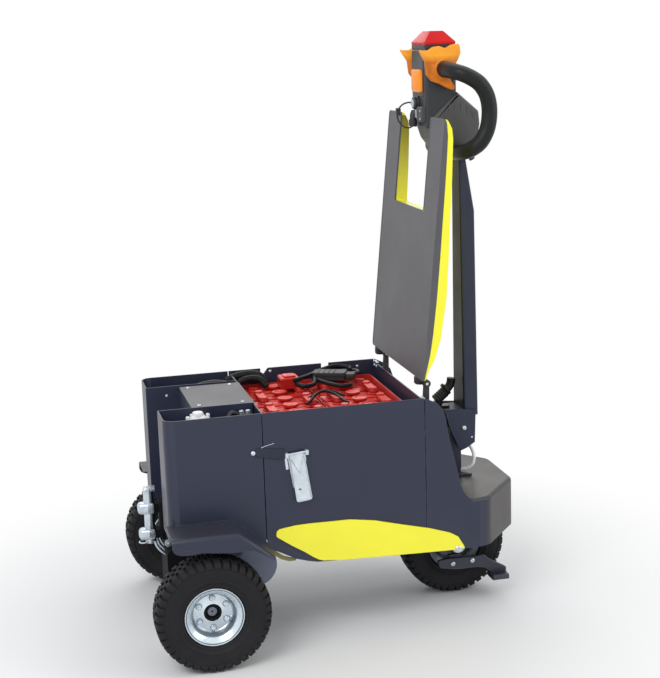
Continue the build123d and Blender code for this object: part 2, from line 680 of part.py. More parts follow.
# ---------------------------------------------------------------- trim and latches
# outline of the yellow stripe on each side, in two parts: (x from the front seam or the castor's axle,
# z from the skirt's lower edge)
STRIPE_FRONT = [(168, 8), (155, 10), (129, 12), (117, 16), (104, 24), (88, 36), (55, 57), (24, 79), (21, 83),
                (23, 93), (29, 98), (67, 103), (98, 104), (194, 103)]
STRIPE_REAR = [(-251, 94), (-191, 78), (-119, 60), (-71, 44), (-51, 32), (-37, 8), (-35, 2), (-71, 1)]
TRIM_T = 4.0
# latch on each side: (x from the front seam, z from the rim)
LATCH_PLATE = [(55, -101), (87, -103), (95, -183), (71, -183)]
LATCH_LEVER = [(47, -95), (93, -98), (98, -108), (106, -208), (66, -208), (53, -108)]
LATCH_T = (4.0, 9.0)
STRAP = [(3, -109), (46, -109), (46, -83), (3, -83)]


def on_both_sides(side_view, start, end):
    """Two plates of one (x, z) outline, between two heights over the body's sides."""
    with BuildPart(mode=Mode.PRIVATE) as pair:
        for side in (-1, 1):
            low, high = sorted((side * (HALF_W + start), side * (HALF_W + end)))
            add(upright_plate(side_view, low, high))
    return pair.part


def side_trims():
    """Yellow plate along each side's skirt."""
    stripe = outline(FRONT_SEAM_X, SKIRT_Z, STRIPE_FRONT) + outline(REAR_AXLE_X, SKIRT_Z, STRIPE_REAR)
    with BuildPart() as trims:
        add(on_both_sides(stripe, 0, TRIM_T))
    return trims.part


def latches():
    """Toggle latch on each side panel: base plate and the lever over it."""
    with BuildPart() as pair:
        add(on_both_sides(outline(FRONT_SEAM_X, BODY_TOP, LATCH_PLATE), 0, LATCH_T[0]))
        add(on_both_sides(outline(FRONT_SEAM_X, BODY_TOP, LATCH_LEVER), *LATCH_T))
    return pair.part


def straps():
    """Flat strap screwed in front of each latch."""
    with BuildPart() as pair:
        add(on_both_sides(outline(FRONT_SEAM_X, BODY_TOP, STRAP), 0, SHEET))
    return pair.part


# ---------------------------------------------------------------- drive
# hanger under each rail: (x from the axle, share of the height from the axle to the rail)
HANGER = [(-34, 1), (34, 1), (24, 0), (-24, 0)]
HANGER_T = 12.0
MOTOR_SEAT_Z = (140.0, 196.0)


def axle_housing():
    """Gear case, axle tubes and the brackets that hang them on the rails."""
    rise = FLOOR_Z - RAIL_H - AXLE_Z
    hanger = [(FRONT_AXLE_X + dx, AXLE_Z + share * rise) for dx, share in HANGER]
    seat_x = (GEARCASE_X[1] - 20, MOTOR_X + MOTOR_R - 2)
    with BuildPart() as housing:
        add(block(GEARCASE_X, (-GEARCASE_HALF_W, GEARCASE_HALF_W), GEARCASE_Z))
        fillet(housing.edges().filter_by(Axis.Y), 16)
        add(block(seat_x, (-GEARCASE_HALF_W, GEARCASE_HALF_W), MOTOR_SEAT_Z))
        add(rod(AXLE_TUBE_R, (FRONT_AXLE_X, -AXLE_TUBE_END, AXLE_Z), (FRONT_AXLE_X, AXLE_TUBE_END, AXLE_Z)))
        for side in (-1, 1):
            y = side * RAIL_Y
            add(upright_plate(hanger, y - HANGER_T / 2, y + HANGER_T / 2))
            start = side * (AXLE_TUBE_END - SHAFT_DEPTH)
            add(rod(SHAFT_R + RUNNING, (FRONT_AXLE_X, start - side, AXLE_Z),
                    (FRONT_AXLE_X, side * (AXLE_TUBE_END + 1), AXLE_Z)), mode=Mode.SUBTRACT)
    return housing.part


def drive_motor():
    """Electric drive motor on the left of the gear case."""
    with BuildPart() as motor:
        add(rod(MOTOR_R, (MOTOR_X, MOTOR_Y[0], MOTOR_Z), (MOTOR_X, MOTOR_Y[1], MOTOR_Z)))
        fillet(motor.edges().group_by(Axis.Y)[0], 6)
    return motor.part


# ---------------------------------------------------------------- wheels
def wheel_plane(x, y):
    """Plane of a wheel's section, local x outwards from the axle and local y along it."""
    return Plane(origin=(x, y, AXLE_Z), x_dir=(1, 0, 0), z_dir=(0, 0, 1))


# half section of a tyre: depth below the crown, distance in from the widest part
TYRE_BULGE = (42.0, 2.2)
TYRE_SHOULDER = (17.0, 0.6)
TYRE_EDGE = (6.0, 5.0)


def tyre(x, y):
    """Pneumatic tyre with a rounded crown and bulged sides."""
    seat, flange, half = RIM_SEAT_R + TOUCH, RIM_R + TOUCH, RIM_W / 2 - RIM_SHEET - TOUCH
    bulge, shoulder, edge = [(WHEEL_R - depth, TYRE_W / 2 - inward)
                             for depth, inward in (TYRE_BULGE, TYRE_SHOULDER, TYRE_EDGE)]
    with BuildPart() as body:
        with BuildSketch(wheel_plane(x, y)):
            with BuildLine():
                Line((seat, -half), (flange, -half))
                ThreePointArc((flange, -half), (bulge[0], -bulge[1]), (shoulder[0], -shoulder[1]))
                Line((shoulder[0], -shoulder[1]), (edge[0], -edge[1]))
                ThreePointArc((edge[0], -edge[1]), (WHEEL_R, 0), edge)
                Line(edge, shoulder)
                ThreePointArc(shoulder, bulge, (flange, half))
                Line((flange, half), (seat, half))
                Line((seat, half), (seat, -half))
            make_face()
        revolve(axis=Axis((x, y, AXLE_Z), (0, 1, 0)))
    return body.part


def rim(x, y, side, bore_r, hub_half):
    """Split steel rim: barrel with two flanges and a dished disc; a hub tube if it runs on an axle."""
    out = RIM_W / 2
    inner = RIM_SEAT_R - RIM_SHEET
    disc = out - RIM_DISH
    with BuildPart() as wheel:
        with BuildSketch(wheel_plane(x, y)):
            with BuildLine():
                Polyline(
                    (bore_r, side * disc), (inner, side * disc), (inner, side * out), (RIM_R, side * out),
                    (RIM_R, side * (out - RIM_SHEET)), (RIM_SEAT_R, side * (out - RIM_SHEET)),
                    (RIM_SEAT_R, -side * (out - RIM_SHEET)), (RIM_R, -side * (out - RIM_SHEET)),
                    (RIM_R, -side * out), (inner, -side * out), (inner, side * (disc - RIM_SHEET)),
                    (bore_r, side * (disc - RIM_SHEET)), close=True)
            make_face()
            if hub_half:
                with Locations(((bore_r + HUB_NOSE_R) / 2 + 1, 0)):
                    Rectangle(HUB_NOSE_R - bore_r + 2, 2 * hub_half)
        revolve(axis=Axis((x, y, AXLE_Z), (0, 1, 0)))
    return wheel.part


def hub(side):
    """Driven hub: shaft into the axle tube, plate behind the disc and a nose through it."""
    disc_out = side * (WHEEL_Y + RIM_W / 2 - RIM_DISH)
    plate_out = disc_out - side * RIM_SHEET
    plate_in = plate_out - side * HUB_PLATE_T
    shaft_in = side * (AXLE_TUBE_END - SHAFT_DEPTH + 2)
    # radius, start and end along the axle
    steps = [(SHAFT_R, shaft_in, plate_in + side), (HUB_PLATE_R, plate_in, plate_out),
             (HUB_NOSE_R, plate_out - side, disc_out + side * HUB_NOSE_L),
             (HUB_NOSE_R / 2, disc_out, disc_out + side * HUB_END_L)]
    with BuildPart() as part:
        for radius, start, end in steps:
            add(rod(radius, (FRONT_AXLE_X, start, AXLE_Z), (FRONT_AXLE_X, end, AXLE_Z)))
    return part.part


# ---------------------------------------------------------------- castor
CROWN_LOW = 2 * WHEEL_R + CROWN_GAP
CROWN_HIGH = CROWN_LOW + CROWN_T
PLATE_TOP = COWL_TOP - SHEET
PLATE_LOW = PLATE_TOP - SWIVEL_PLATE_T
RACE_LOW = PLATE_LOW - RACE_H


def castor_mount():
    """Top plate under the cowl with the fixed race and the kingpin."""
    half = SWIVEL_PLATE_HALF
    # radius, start and end along the swivel axis
    steps = [(RACE_R, RACE_LOW, PLATE_LOW + 1), (KINGPIN_R, CROWN_LOW - 4, RACE_LOW + 1),
             (KINGPIN_R + 5, CROWN_LOW - 8, CROWN_LOW - TOUCH)]
    with BuildPart() as mount:
        add(block((SWIVEL_X - half, SWIVEL_X + half), (-half, half), (PLATE_LOW, PLATE_TOP)))
        fillet(mount.edges().filter_by(Axis.Z), 10)
        for radius, start, end in steps:
            add(rod(radius, (SWIVEL_X, 0, start), (SWIVEL_X, 0, end)))
    return mount.part


def castor_fork():
    """Crown with the turning race, and two legs down to the axle."""
    front, rear, outer = SWIVEL_X - CROWN_NOSE, REAR_AXLE_X + CROWN_TAIL, LEG_Y + LEG_T
    shoulder = CROWN_LOW - LEG_SHOULDER
    leg = [(front, CROWN_HIGH), (rear, CROWN_HIGH), (rear, shoulder), (REAR_AXLE_X + FORK_EYE_R, AXLE_Z),
           (REAR_AXLE_X - FORK_EYE_R, AXLE_Z), (front, shoulder)]
    with BuildPart() as fork:
        add(block((front, rear), (-outer, outer), (CROWN_LOW, CROWN_HIGH)))
        add(rod(RACE_R, (SWIVEL_X, 0, CROWN_HIGH - 1), (SWIVEL_X, 0, RACE_LOW - TOUCH)))
        for side in (-1, 1):
            low, high = sorted((side * LEG_Y, side * outer))
            add(upright_plate(leg, low, high))
            add(rod(FORK_EYE_R, (REAR_AXLE_X, low, AXLE_Z), (REAR_AXLE_X, high, AXLE_Z)))
        add(rod(KINGPIN_R + RUNNING, (SWIVEL_X, 0, CROWN_LOW - 1), (SWIVEL_X, 0, RACE_LOW)), mode=Mode.SUBTRACT)
        add(rod(CASTOR_AXLE_R + RUNNING, (REAR_AXLE_X, -outer - 1, AXLE_Z), (REAR_AXLE_X, outer + 1, AXLE_Z)),
            mode=Mode.SUBTRACT)
    return fork.part


def castor_axle():
    """Axle bolt through the fork's eyes."""
    end = LEG_Y + LEG_T
    tip = end + AXLE_HEAD_L
    with BuildPart() as bolt:
        add(rod(CASTOR_AXLE_R, (REAR_AXLE_X, -tip, AXLE_Z), (REAR_AXLE_X, tip, AXLE_Z)))
        for side in (-1, 1):
            add(rod(AXLE_HEAD_R, (REAR_AXLE_X, side * end, AXLE_Z), (REAR_AXLE_X, side * tip, AXLE_Z)))
    return bolt.part


# parts of the foot pedal: outline from the castor's axle, start and end outwards from the fork
PEDAL_ARM = ([(-59, -27), (-29, -24), (39, -26), (62, -24), (72, -35), (119, -64), (119, -85), (88, -87), (75, -66),
              (49, -54), (-11, -54), (-54, -43)], 9, 20)
PEDAL_LUG = ([(-25, -50), (5, -50), (5, -18), (-25, -18)], 0, 10)
PEDAL_TREAD = ([(75, -84), (119, -84), (119, -72), (75, -72)], -4, 44)


def castor_pedal():
    """Foot pedal bolted to the left of the fork: arm, cranked end and tread."""
    inner = -(LEG_Y + LEG_T)
    with BuildPart() as pedal:
        for offsets, start, end in (PEDAL_ARM, PEDAL_TREAD):
            add(upright_plate(outline(REAR_AXLE_X, AXLE_Z, offsets), inner - end, inner - start))
        fillet(pedal.edges().filter_by(Axis.Z), 4)
        offsets, start, end = PEDAL_LUG
        add(upright_plate(outline(REAR_AXLE_X, AXLE_Z, offsets), inner - end, inner - start))
    return pedal.part


# ---------------------------------------------------------------- tiller
def tiller_post():
    """Base plate and post on the cowl, with the boss that the tiller tilts on."""
    length, width, thick = POST_BASE
    base_x = PIVOT_X + 22 - length
    post_x = (PIVOT_X - 28, PIVOT_X - 1)
    with BuildPart() as post:
        add(block((base_x, base_x + length), (-width / 2, width / 2), (COWL_TOP, COWL_TOP + thick)))
        fillet(post.edges().filter_by(Axis.Z), 8)
        add(block(post_x, (-POST_HALF_W, POST_HALF_W), (COWL_TOP + thick - 1, PIVOT_Z - PIVOT_R - TOUCH)))
        add(rod(BOSS_R, (PIVOT_X, -POST_HALF_W, PIVOT_Z), (PIVOT_X, POST_HALF_W, PIVOT_Z)))
        add(rod(PIVOT_R + RUNNING, (PIVOT_X, -POST_HALF_W - 1, PIVOT_Z), (PIVOT_X, POST_HALF_W + 1, PIVOT_Z)),
            mode=Mode.SUBTRACT)
    return post.part


# side view of the tiller's cheeks, and the web that joins them: (x and z from the pivot)
CHEEK = [(-48, 50), (31, 43), (28, -38), (7, -51), (-9, -57), (-29, -12)]
WEB_X = -44.0
WEB_Z = (38.0, 44.0)
# foot of the tilt lock: x, y and z from the pivot, and the half size of its block
LOCK_FOOT = (-41.0, -4.0, 54.0)
LOCK_BLOCK = (-43.0, -28.0)
LOCK_BLOCK_HALF_W = 9.0


def tiller_bracket():
    """Two cheeks that carry the column, joined by a web in front of it."""
    outer = CHEEK_Y + CHEEK_T
    with BuildPart() as bracket:
        for side in (-1, 1):
            low, high = sorted((side * CHEEK_Y, side * outer))
            add(upright_plate(outline(PIVOT_X, PIVOT_Z, CHEEK), low, high))
        add(block((PIVOT_X + WEB_X, COLUMN_FRONT_X), (-outer, outer), (PIVOT_Z + WEB_Z[0], PIVOT_Z + WEB_Z[1])))
        add(rod(PIVOT_R + RUNNING, (PIVOT_X, -outer - 1, PIVOT_Z), (PIVOT_X, outer + 1, PIVOT_Z)),
            mode=Mode.SUBTRACT)
    return bracket.part


def pivot_bolt():
    """Bolt that the tiller tilts on, fixed in the cheeks."""
    outer = CHEEK_Y + CHEEK_T
    tip = outer + PIVOT_HEAD_L
    with BuildPart() as bolt:
        add(rod(PIVOT_R, (PIVOT_X, -tip, PIVOT_Z), (PIVOT_X, tip, PIVOT_Z)))
        for side in (-1, 1):
            add(rod(PIVOT_HEAD_R, (PIVOT_X, side * outer, PIVOT_Z), (PIVOT_X, side * tip, PIVOT_Z)))
    return bolt.part


def tilt_lock():
    """Grip of the tilt lock, with its collar, on the web in front of the column."""
    foot = Vector(PIVOT_X, 0, PIVOT_Z) + Vector(*LOCK_FOOT)
    along = Vector(*LOCK_LEAN).normalized() * LOCK_L
    # radius, start and end as shares of the length
    steps = [(0.6 * LOCK_R, 0, 1), (LOCK_R + 1, 0.12, 0.3), (LOCK_R, 0.3, 1)]
    block_x = (PIVOT_X + LOCK_BLOCK[0], PIVOT_X + LOCK_BLOCK[1])
    with BuildPart() as lock:
        for radius, start, end in steps:
            add(rod(radius, tuple(foot + along * start), tuple(foot + along * end)))
        add(block(block_x, (-LOCK_BLOCK_HALF_W, LOCK_BLOCK_HALF_W), (PIVOT_Z + WEB_Z[1], foot.Z + 4)))
    return lock.part


def tiller_column():
    """Box column, narrowing upwards and cut back behind near its top."""
    # height, depth, half width
    sections = [(PIVOT_Z + COLUMN_FOOT, COLUMN_DEPTH, CHEEK_Y),
                (COLUMN_TOP_Z - COLUMN_TAPER, COLUMN_DEPTH, COLUMN_TOP_HALF_W + 2),
                (COLUMN_TOP_Z, COLUMN_TOP_DEPTH, COLUMN_TOP_HALF_W)]
    with BuildPart() as column:
        for z, depth, half in sections:
            with BuildSketch(Plane(origin=(COLUMN_FRONT_X + depth / 2, 0, z), x_dir=(1, 0, 0), z_dir=(0, 0, 1))):
                RectangleRounded(depth, 2 * half, 5)
        loft(ruled=True)
    return column.part


# side view of the lower housing: (x from the pivot, z from the top of the head)
BOWL = [(-79, -174), (-55, -151), (-9, -108), (43, -154), (46, -184), (39, -220), (25, -248), (11, -268), (-12, -268),
        (-40, -249), (-64, -218)]
BOWL_MIDDLE = (-9.0, -190.0)


def tiller_bowl():
    """Lower housing of the tiller head, rounded underneath and drawn in towards both sides."""
    flank = BOWL_HALF_W - BOWL_FLANK
    middle_x, middle_z = BOWL_MIDDLE
    with BuildPart() as bowl:
        for y, size in ((-BOWL_HALF_W, BOWL_DRAW), (-flank, 1), (flank, 1), (BOWL_HALF_W, BOWL_DRAW)):
            side_view = [(middle_x + (x - middle_x) * size, middle_z + (z - middle_z) * size) for x, z in BOWL]
            with BuildSketch(side_plane(y)):
                with BuildLine():
                    Polyline(*outline(PIVOT_X, HEAD_TOP_Z, side_view), close=True)
                make_face()
        loft(ruled=True)
        add(block(HEAD_X, (-HEAD_HALF_W, HEAD_HALF_W), (HEAD_BASE_Z, HEAD_TOP_Z)), mode=Mode.SUBTRACT)
    return bowl.part


def tiller_head():
    """Upright control block of the tiller."""
    with BuildPart() as head:
        add(block(HEAD_X, (-HEAD_HALF_W, HEAD_HALF_W), (HEAD_BASE_Z, HEAD_TOP_Z)))
        fillet(head.edges().filter_by(Axis.Z), 8)
    return head.part


def head_cap():
    """Red pressure cap on top of the head."""
    middle = (HEAD_X[0] + HEAD_X[1]) / 2
    # height, inset along the head, inset across it
    sections = [(HEAD_TOP_Z, 0, 0), (HEAD_TOP_Z + HEAD_CAP_H / 6, 0, 0), (CAP_TOP_Z, 18, 26)]
    with BuildPart() as cap:
        for z, inset_x, inset_y in sections:
            with BuildSketch(Plane(origin=(middle, 0, z), x_dir=(1, 0, 0), z_dir=(0, 0, 1))):
                RectangleRounded(HEAD_L - 2 * inset_x, 2 * (HEAD_HALF_W - inset_y), 8)
        loft(ruled=True)
    return cap.part


# controls on the front of the head: thickness, (y), (z from the top of the head)
BUTTON_PLATE = (8.0, (-34, 34), (-109, -56))
KEY_PLUG = (12.0, (-14, 22), (-188, -152))
KEY_R = 16.0
KEY_L = 14.0
KEY_Y = 8.0
KEY_DROP = 134.0


def head_button():
    """Orange plate with the push button on the front of the head."""
    thick, y, (base, top) = BUTTON_PLATE
    with BuildPart() as button:
        add(block((HEAD_X[0] - thick, HEAD_X[0]), y, (HEAD_TOP_Z + base, HEAD_TOP_Z + top)))
        fillet(button.edges().filter_by(Axis.X), 6)
    return button.part


def key_switch():
    """Key switch and plug below the button."""
    thick, y, (base, top) = KEY_PLUG
    key_z = HEAD_TOP_Z - KEY_DROP
    with BuildPart() as key:
        add(rod(KEY_R, (HEAD_X[0] - KEY_L, KEY_Y, key_z), (HEAD_X[0], KEY_Y, key_z)))
        add(block((HEAD_X[0] - thick, HEAD_X[0]), y, (HEAD_TOP_Z + base, HEAD_TOP_Z + top)))
    return key.part


# hand loop from the head round to the lower housing, and the outline of the speed control
# (x from the pivot, z from the top of the head)
LOOP = [(-46, -56), (2, -78), (34, -114), (38, -182), (18, -224), (-24, -240)]
KNOB = [(-105, -11), (-84, -13), (-72, -6), (-56, -4), (-41, -9), (-28, -2), (-9, 0), (-5, -20), (-17, -46),
        (-18, -70), (-8, -99), (-13, -108), (-30, -102), (-61, -92), (-79, -84), (-87, -67), (-90, -38), (-99, -24)]


def handle(side):
    """Closed hand loop from the side of the head out and back to the lower housing."""
    ring = [(x, side * GRIP_Y, z) for x, z in outline(PIVOT_X, HEAD_TOP_Z, LOOP)]
    root = (ring[0][0], side * (HEAD_HALF_W + TOUCH), ring[0][2])
    foot = (ring[-1][0], side * (BOWL_HALF_W + TOUCH), ring[-1][2])
    return tube(f"hand loop {side:+d}", GRIP_R, [root] + ring + [foot])


def knob(side):
    """Butterfly speed control around the root of the handle."""
    low, high = sorted((side * (HEAD_HALF_W + TOUCH), side * (HEAD_HALF_W + KNOB_W)))
    x, z = outline(PIVOT_X, HEAD_TOP_Z, LOOP)[0]
    with BuildPart() as part:
        add(upright_plate(outline(PIVOT_X, HEAD_TOP_Z, KNOB), low, high))
        fillet(part.edges().filter_by(Axis.Y), 3)
        add(rod(GRIP_R + TOUCH, (x, side * HEAD_HALF_W, z), (x, side * (HEAD_HALF_W + KNOB_W + 8), z)),
            mode=Mode.SUBTRACT)
    return part.part


# white conduit behind the tiller's post, from hole to hole: (x, y, z from the pivot)
CONDUIT = [(-1, -18, -40), (16, -24, -46), (28, -30, -70), (26, -32, -94), (13, -28, -109), (-1, -22, -112)]


def conduit():
    """Cable conduit behind the post."""
    return tube("conduit", CONDUIT_R, [(PIVOT_X + x, y, PIVOT_Z + z) for x, y, z in CONDUIT])


# ---------------------------------------------------------------- coupling
# distances back from the pin: throat of the jaws, back plate
THROAT = (22.0, 34.0)
STAY_HALF_W = 15.0
WALL_PLATE = (8.0, 60.0, (206.0, 330.0))    # thickness, half width, height


def coupling():
    """Jaw coupling: upper and lower jaw with round noses on a back plate, and its stay to the bulkhead."""
    throat, back = PIN_X + THROAT[0], PIN_X + THROAT[1]
    plate_t, plate_half, plate_z = WALL_PLATE
    with BuildPart() as jaws:
        for low, high in (UPPER_JAW_Z, LOWER_JAW_Z):
            with BuildSketch(Plane.XY.offset(low)):
                with Locations((PIN_X, 0)):
                    Circle(JAW_R)
                with Locations(((PIN_X + back) / 2, 0)):
                    Rectangle(back - PIN_X, 2 * JAW_R)
            extrude(amount=high - low)
        add(block((throat, back), (-JAW_R, JAW_R), (LOWER_JAW_Z[0], UPPER_JAW_Z[1])))
        add(block((back - 2, RECESS_BACK_X), (-STAY_HALF_W, STAY_HALF_W), (LOWER_JAW_Z[1] - 4, UPPER_JAW_Z[0] + 4)))
        add(block((RECESS_BACK_X - plate_t, RECESS_BACK_X), (-plate_half, plate_half), plate_z))
        add(rod(PIN_R + RUNNING, (PIN_X, 0, LOWER_JAW_Z[0] - 1), (PIN_X, 0, UPPER_JAW_Z[1] + 1)), mode=Mode.SUBTRACT)
    return jaws.part


def coupling_pin():
    """Pin through the jaws, with its collar and a lifting eye above."""
    collar_top, eye_low = UPPER_JAW_Z[1] + 6, PIN_Z[1] - 8
    with BuildPart() as pin:
        add(rod(PIN_R, (PIN_X, 0, PIN_Z[0]), (PIN_X, 0, PIN_Z[1])))
        add(rod(PIN_R + 5, (PIN_X, 0, UPPER_JAW_Z[1]), (PIN_X, 0, collar_top)))
        add(block((PIN_X - 4, PIN_X + 20), (-6, 6), (eye_low, PIN_Z[1])))
    return pin.part


# ---------------------------------------------------------------- write every piece
save(chassis_frame(), "chassis_frame")
for name, side in SIDES:
    save(pod(side), f"front_pod_{name}")
save(side_panel(-1, []), "side_panel_left")
save(side_panel(1, NOTCHES), "side_panel_right")
save(rear_cowl(), "rear_cowl")
save(bay_walls(), "battery_bay_walls")
save(coupling_bulkhead(), "coupling_bulkhead")
save(control_cover(), "control_cover")
save(charge_socket(), "charge_socket")
save(relay(), "relay")
save(battery_tray(), "battery_tray")
save(battery_cells(), "battery_cells")
save(battery_links(), "battery_links")
save(battery_plug(), "battery_plug")
save(lid_hood(), "lid_hood")
save(lid_panel(), "lid_panel")
save(hinge_brackets(), "hinge_brackets")
save(lid_hinges(), "lid_hinges")
save(side_trims(), "side_trims")
save(latches(), "latches")
save(straps(), "latch_straps")
save(axle_housing(), "axle_housing")
save(drive_motor(), "drive_motor")
for name, side in SIDES:
    save(tyre(FRONT_AXLE_X, side * WHEEL_Y), f"tyre_{name}")
    save(rim(FRONT_AXLE_X, side * WHEEL_Y, side, HUB_NOSE_R + RUNNING, 0), f"rim_{name}")
    save(hub(side), f"hub_{name}")
save(tyre(REAR_AXLE_X, 0), "castor_tyre")
save(rim(REAR_AXLE_X, 0, -1, CASTOR_AXLE_R + RUNNING, LEG_Y - 1), "castor_rim")
save(castor_mount(), "castor_mount")
save(castor_fork(), "castor_fork")
save(castor_axle(), "castor_axle")
save(castor_pedal(), "castor_pedal")
save(tiller_post(), "tiller_post")
save(tiller_bracket(), "tiller_bracket")
save(pivot_bolt(), "pivot_bolt")
save(tilt_lock(), "tilt_lock")
save(tiller_column(), "tiller_column")
save(tiller_bowl(), "tiller_bowl")
save(tiller_head(), "tiller_head")
save(head_cap(), "head_cap")
save(head_button(), "head_button")
save(key_switch(), "key_switch")
for name, side in SIDES:
    save(handle(side), f"handle_{name}")
    save(knob(side), f"speed_knob_{name}")
save(conduit(), "conduit")
save(coupling(), "coupling")
save(coupling_pin(), "coupling_pin")
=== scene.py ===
# %% [markdown]
# # A walk-behind electric tug, dressed in Blender
# The machine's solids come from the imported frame, at their real size and place. This lesson gives them
# their looks: paint, zinc, rubber and plastic, and the small shapes that plain solids leave out.
# Everything is in metres, +X towards the tiller, -Y is the machine's near side and +Z is up.

# %% Load the frame
import bpy
import bmesh
from math import cos, sin, tan, pi, radians
from mathutils import Matrix, Vector


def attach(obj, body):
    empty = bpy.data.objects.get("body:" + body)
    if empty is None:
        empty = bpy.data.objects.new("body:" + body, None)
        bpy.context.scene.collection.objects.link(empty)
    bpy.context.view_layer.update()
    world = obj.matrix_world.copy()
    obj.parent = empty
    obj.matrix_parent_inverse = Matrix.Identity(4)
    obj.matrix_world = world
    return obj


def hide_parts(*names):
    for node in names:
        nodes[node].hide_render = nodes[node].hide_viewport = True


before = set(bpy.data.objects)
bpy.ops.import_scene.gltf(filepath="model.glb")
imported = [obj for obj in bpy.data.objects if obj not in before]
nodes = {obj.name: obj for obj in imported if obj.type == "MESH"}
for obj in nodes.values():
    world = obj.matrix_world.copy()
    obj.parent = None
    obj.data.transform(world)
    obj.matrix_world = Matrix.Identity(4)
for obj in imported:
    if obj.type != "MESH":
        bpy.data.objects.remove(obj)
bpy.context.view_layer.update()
MM = 0.001

# %% [markdown]
# A camera is only a place and a direction. This one stands a little above the lid, in front of the near
# side, looking slightly down. Its lens is long and it stands far off, so that upright edges stay almost
# parallel. The direction is built from a yaw, a pitch and a small roll.

# %% Camera
CAMERA_AT = Vector((-0.757, -3.328, 1.388))
YAW, PITCH, ROLL = radians(13.31), radians(12.0), radians(-1.87)
LENS_MM, SENSOR_MM = 78.06, 36.0
forward = Vector((sin(YAW) * cos(PITCH), cos(YAW) * cos(PITCH), -sin(PITCH)))
level_right = Vector((cos(YAW), -sin(YAW), 0))
level_up = level_right.cross(forward)
right = cos(ROLL) * level_right + sin(ROLL) * level_up
up = -sin(ROLL) * level_right + cos(ROLL) * level_up

camera_data = bpy.data.cameras.new("camera")
camera_data.lens = LENS_MM
camera_data.sensor_width = SENSOR_MM
camera = bpy.data.objects.new("camera", camera_data)
bpy.context.scene.collection.objects.link(camera)
camera.matrix_world = Matrix((
    (right.x, up.x, -forward.x, CAMERA_AT.x),
    (right.y, up.y, -forward.y, CAMERA_AT.y),
    (right.z, up.z, -forward.z, CAMERA_AT.z),
    (0, 0, 0, 1)))
bpy.context.scene.camera = camera
bpy.context.scene.view_settings.view_transform = "Standard"
print("camera looks along", [round(v, 3) for v in forward])

# %% [markdown]
# ## Light and floor
# Blender describes the world and every material as a tree of nodes. They could be drawn by hand in the
# shader editor, but a script can be read and run again. A few helpers keep the later cells short: they
# clear a tree, add a node and join two sockets.

# %% Nodes and links
def node_tree(owner):
    """An empty node tree for a world or a material."""
    owner.use_nodes = True
    owner.node_tree.nodes.clear()
    return owner.node_tree


def link(tree, source, target):
    tree.links.new(source, target)


def add_node(tree, kind, **settings):
    """A node of a kind, with its settings."""
    node = tree.nodes.new(kind)
    for key, value in settings.items():
        setattr(node, key, value)
    return node


def feed(tree, socket, value):
    """Sets a socket to a number, or links another socket to it."""
    if isinstance(value, (int, float)):
        socket.default_value = value
    else:
        link(tree, value, socket)


print("node helpers ready")

# %% [markdown]
# Two nodes do most of the sums: Math works on numbers, and Map Range turns one range into another. The
# Light Path node tells what kind of ray has met a surface, so that a backdrop may look white without
# throwing more light on the machine.

# %% Sums, ranges and rays
def maths(tree, operation, *values, clamp=False):
    """A Math node; each value is a number or a socket."""
    node = add_node(tree, "ShaderNodeMath", operation=operation, use_clamp=clamp)
    for socket, value in zip(node.inputs, values):
        feed(tree, socket, value)
    return node.outputs[0]


def ramp(tree, source, low, high, to_low=0.0, to_high=1.0, kind="LINEAR"):
    """Maps low..high to to_low..to_high, clamped."""
    node = add_node(tree, "ShaderNodeMapRange", clamp=True, interpolation_type=kind)
    link(tree, source, node.inputs["Value"])
    for label, value in (("From Min", low), ("From Max", high), ("To Min", to_low), ("To Max", to_high)):
        feed(tree, node.inputs[label], value)
    return node.outputs["Result"]


def looked_at(tree):
    """1 where a camera, a mirror or a glass looks straight at it, and 0 where it only gives light."""
    rays = add_node(tree, "ShaderNodeLightPath").outputs
    straight = maths(tree, "MAXIMUM", rays["Is Camera Ray"], rays["Is Transmission Ray"])
    return maths(tree, "MAXIMUM", straight, rays["Is Glossy Ray"])


def mix_to_output(tree, factor, first, second, output):
    """Mixes two shaders and ends the tree with them."""
    mix = add_node(tree, "ShaderNodeMixShader")
    link(tree, factor, mix.inputs["Fac"])
    link(tree, first.outputs[0], mix.inputs[1])
    link(tree, second.outputs[0], mix.inputs[2])
    link(tree, mix.outputs[0], add_node(tree, output).inputs["Surface"])


print("maths helpers ready")

# %% [markdown]
# The world is a soft, even studio. The sky and three large lamps light the machine at a plain level, and
# only what the camera, a mirror or a glass sees directly is pure white. One strong sun would be simpler,
# but it would draw hard shadows that no part of the machine needs.

# %% World and lamps
SKY_COLOUR, SKY_STRENGTH = (0.95, 0.97, 1.0, 1), 0.62
world = bpy.data.worlds.new("studio")
bpy.context.scene.world = world
tree = node_tree(world)
sky = add_node(tree, "ShaderNodeBackground")
sky.inputs["Color"].default_value = SKY_COLOUR
sky.inputs["Strength"].default_value = SKY_STRENGTH
white = add_node(tree, "ShaderNodeBackground")
white.inputs["Color"].default_value = (1, 1, 1, 1)
mix_to_output(tree, looked_at(tree), sky, white, "ShaderNodeOutputWorld")


def area_lamp(name, at, size, watts, towards=(0, 0, 0.6)):
    """Soft box that points at the middle of the machine."""
    data = bpy.data.lights.new(name, "AREA")
    data.shape = "RECTANGLE"
    data.size, data.size_y = size
    data.energy = watts
    lamp = bpy.data.objects.new(name, data)
    bpy.context.scene.collection.objects.link(lamp)
    lamp.location = at
    lamp.rotation_euler = (Vector(towards) - Vector(at)).to_track_quat("-Z", "Y").to_euler()


area_lamp("key_box", (-2.2, -2.6, 3.2), (2.2, 1.6), 70)
area_lamp("side_box", (2.8, -1.6, 1.9), (1.4, 2.2), 26)
area_lamp("back_box", (0.4, 3.0, 2.6), (3.0, 1.4), 34)

# %% [markdown]
# The floor is a large pale sheet of paper that keeps the machine's shadow. Away from the machine it fades
# to the same white as the world, by a mask of the distance from the middle, so no horizon shows.

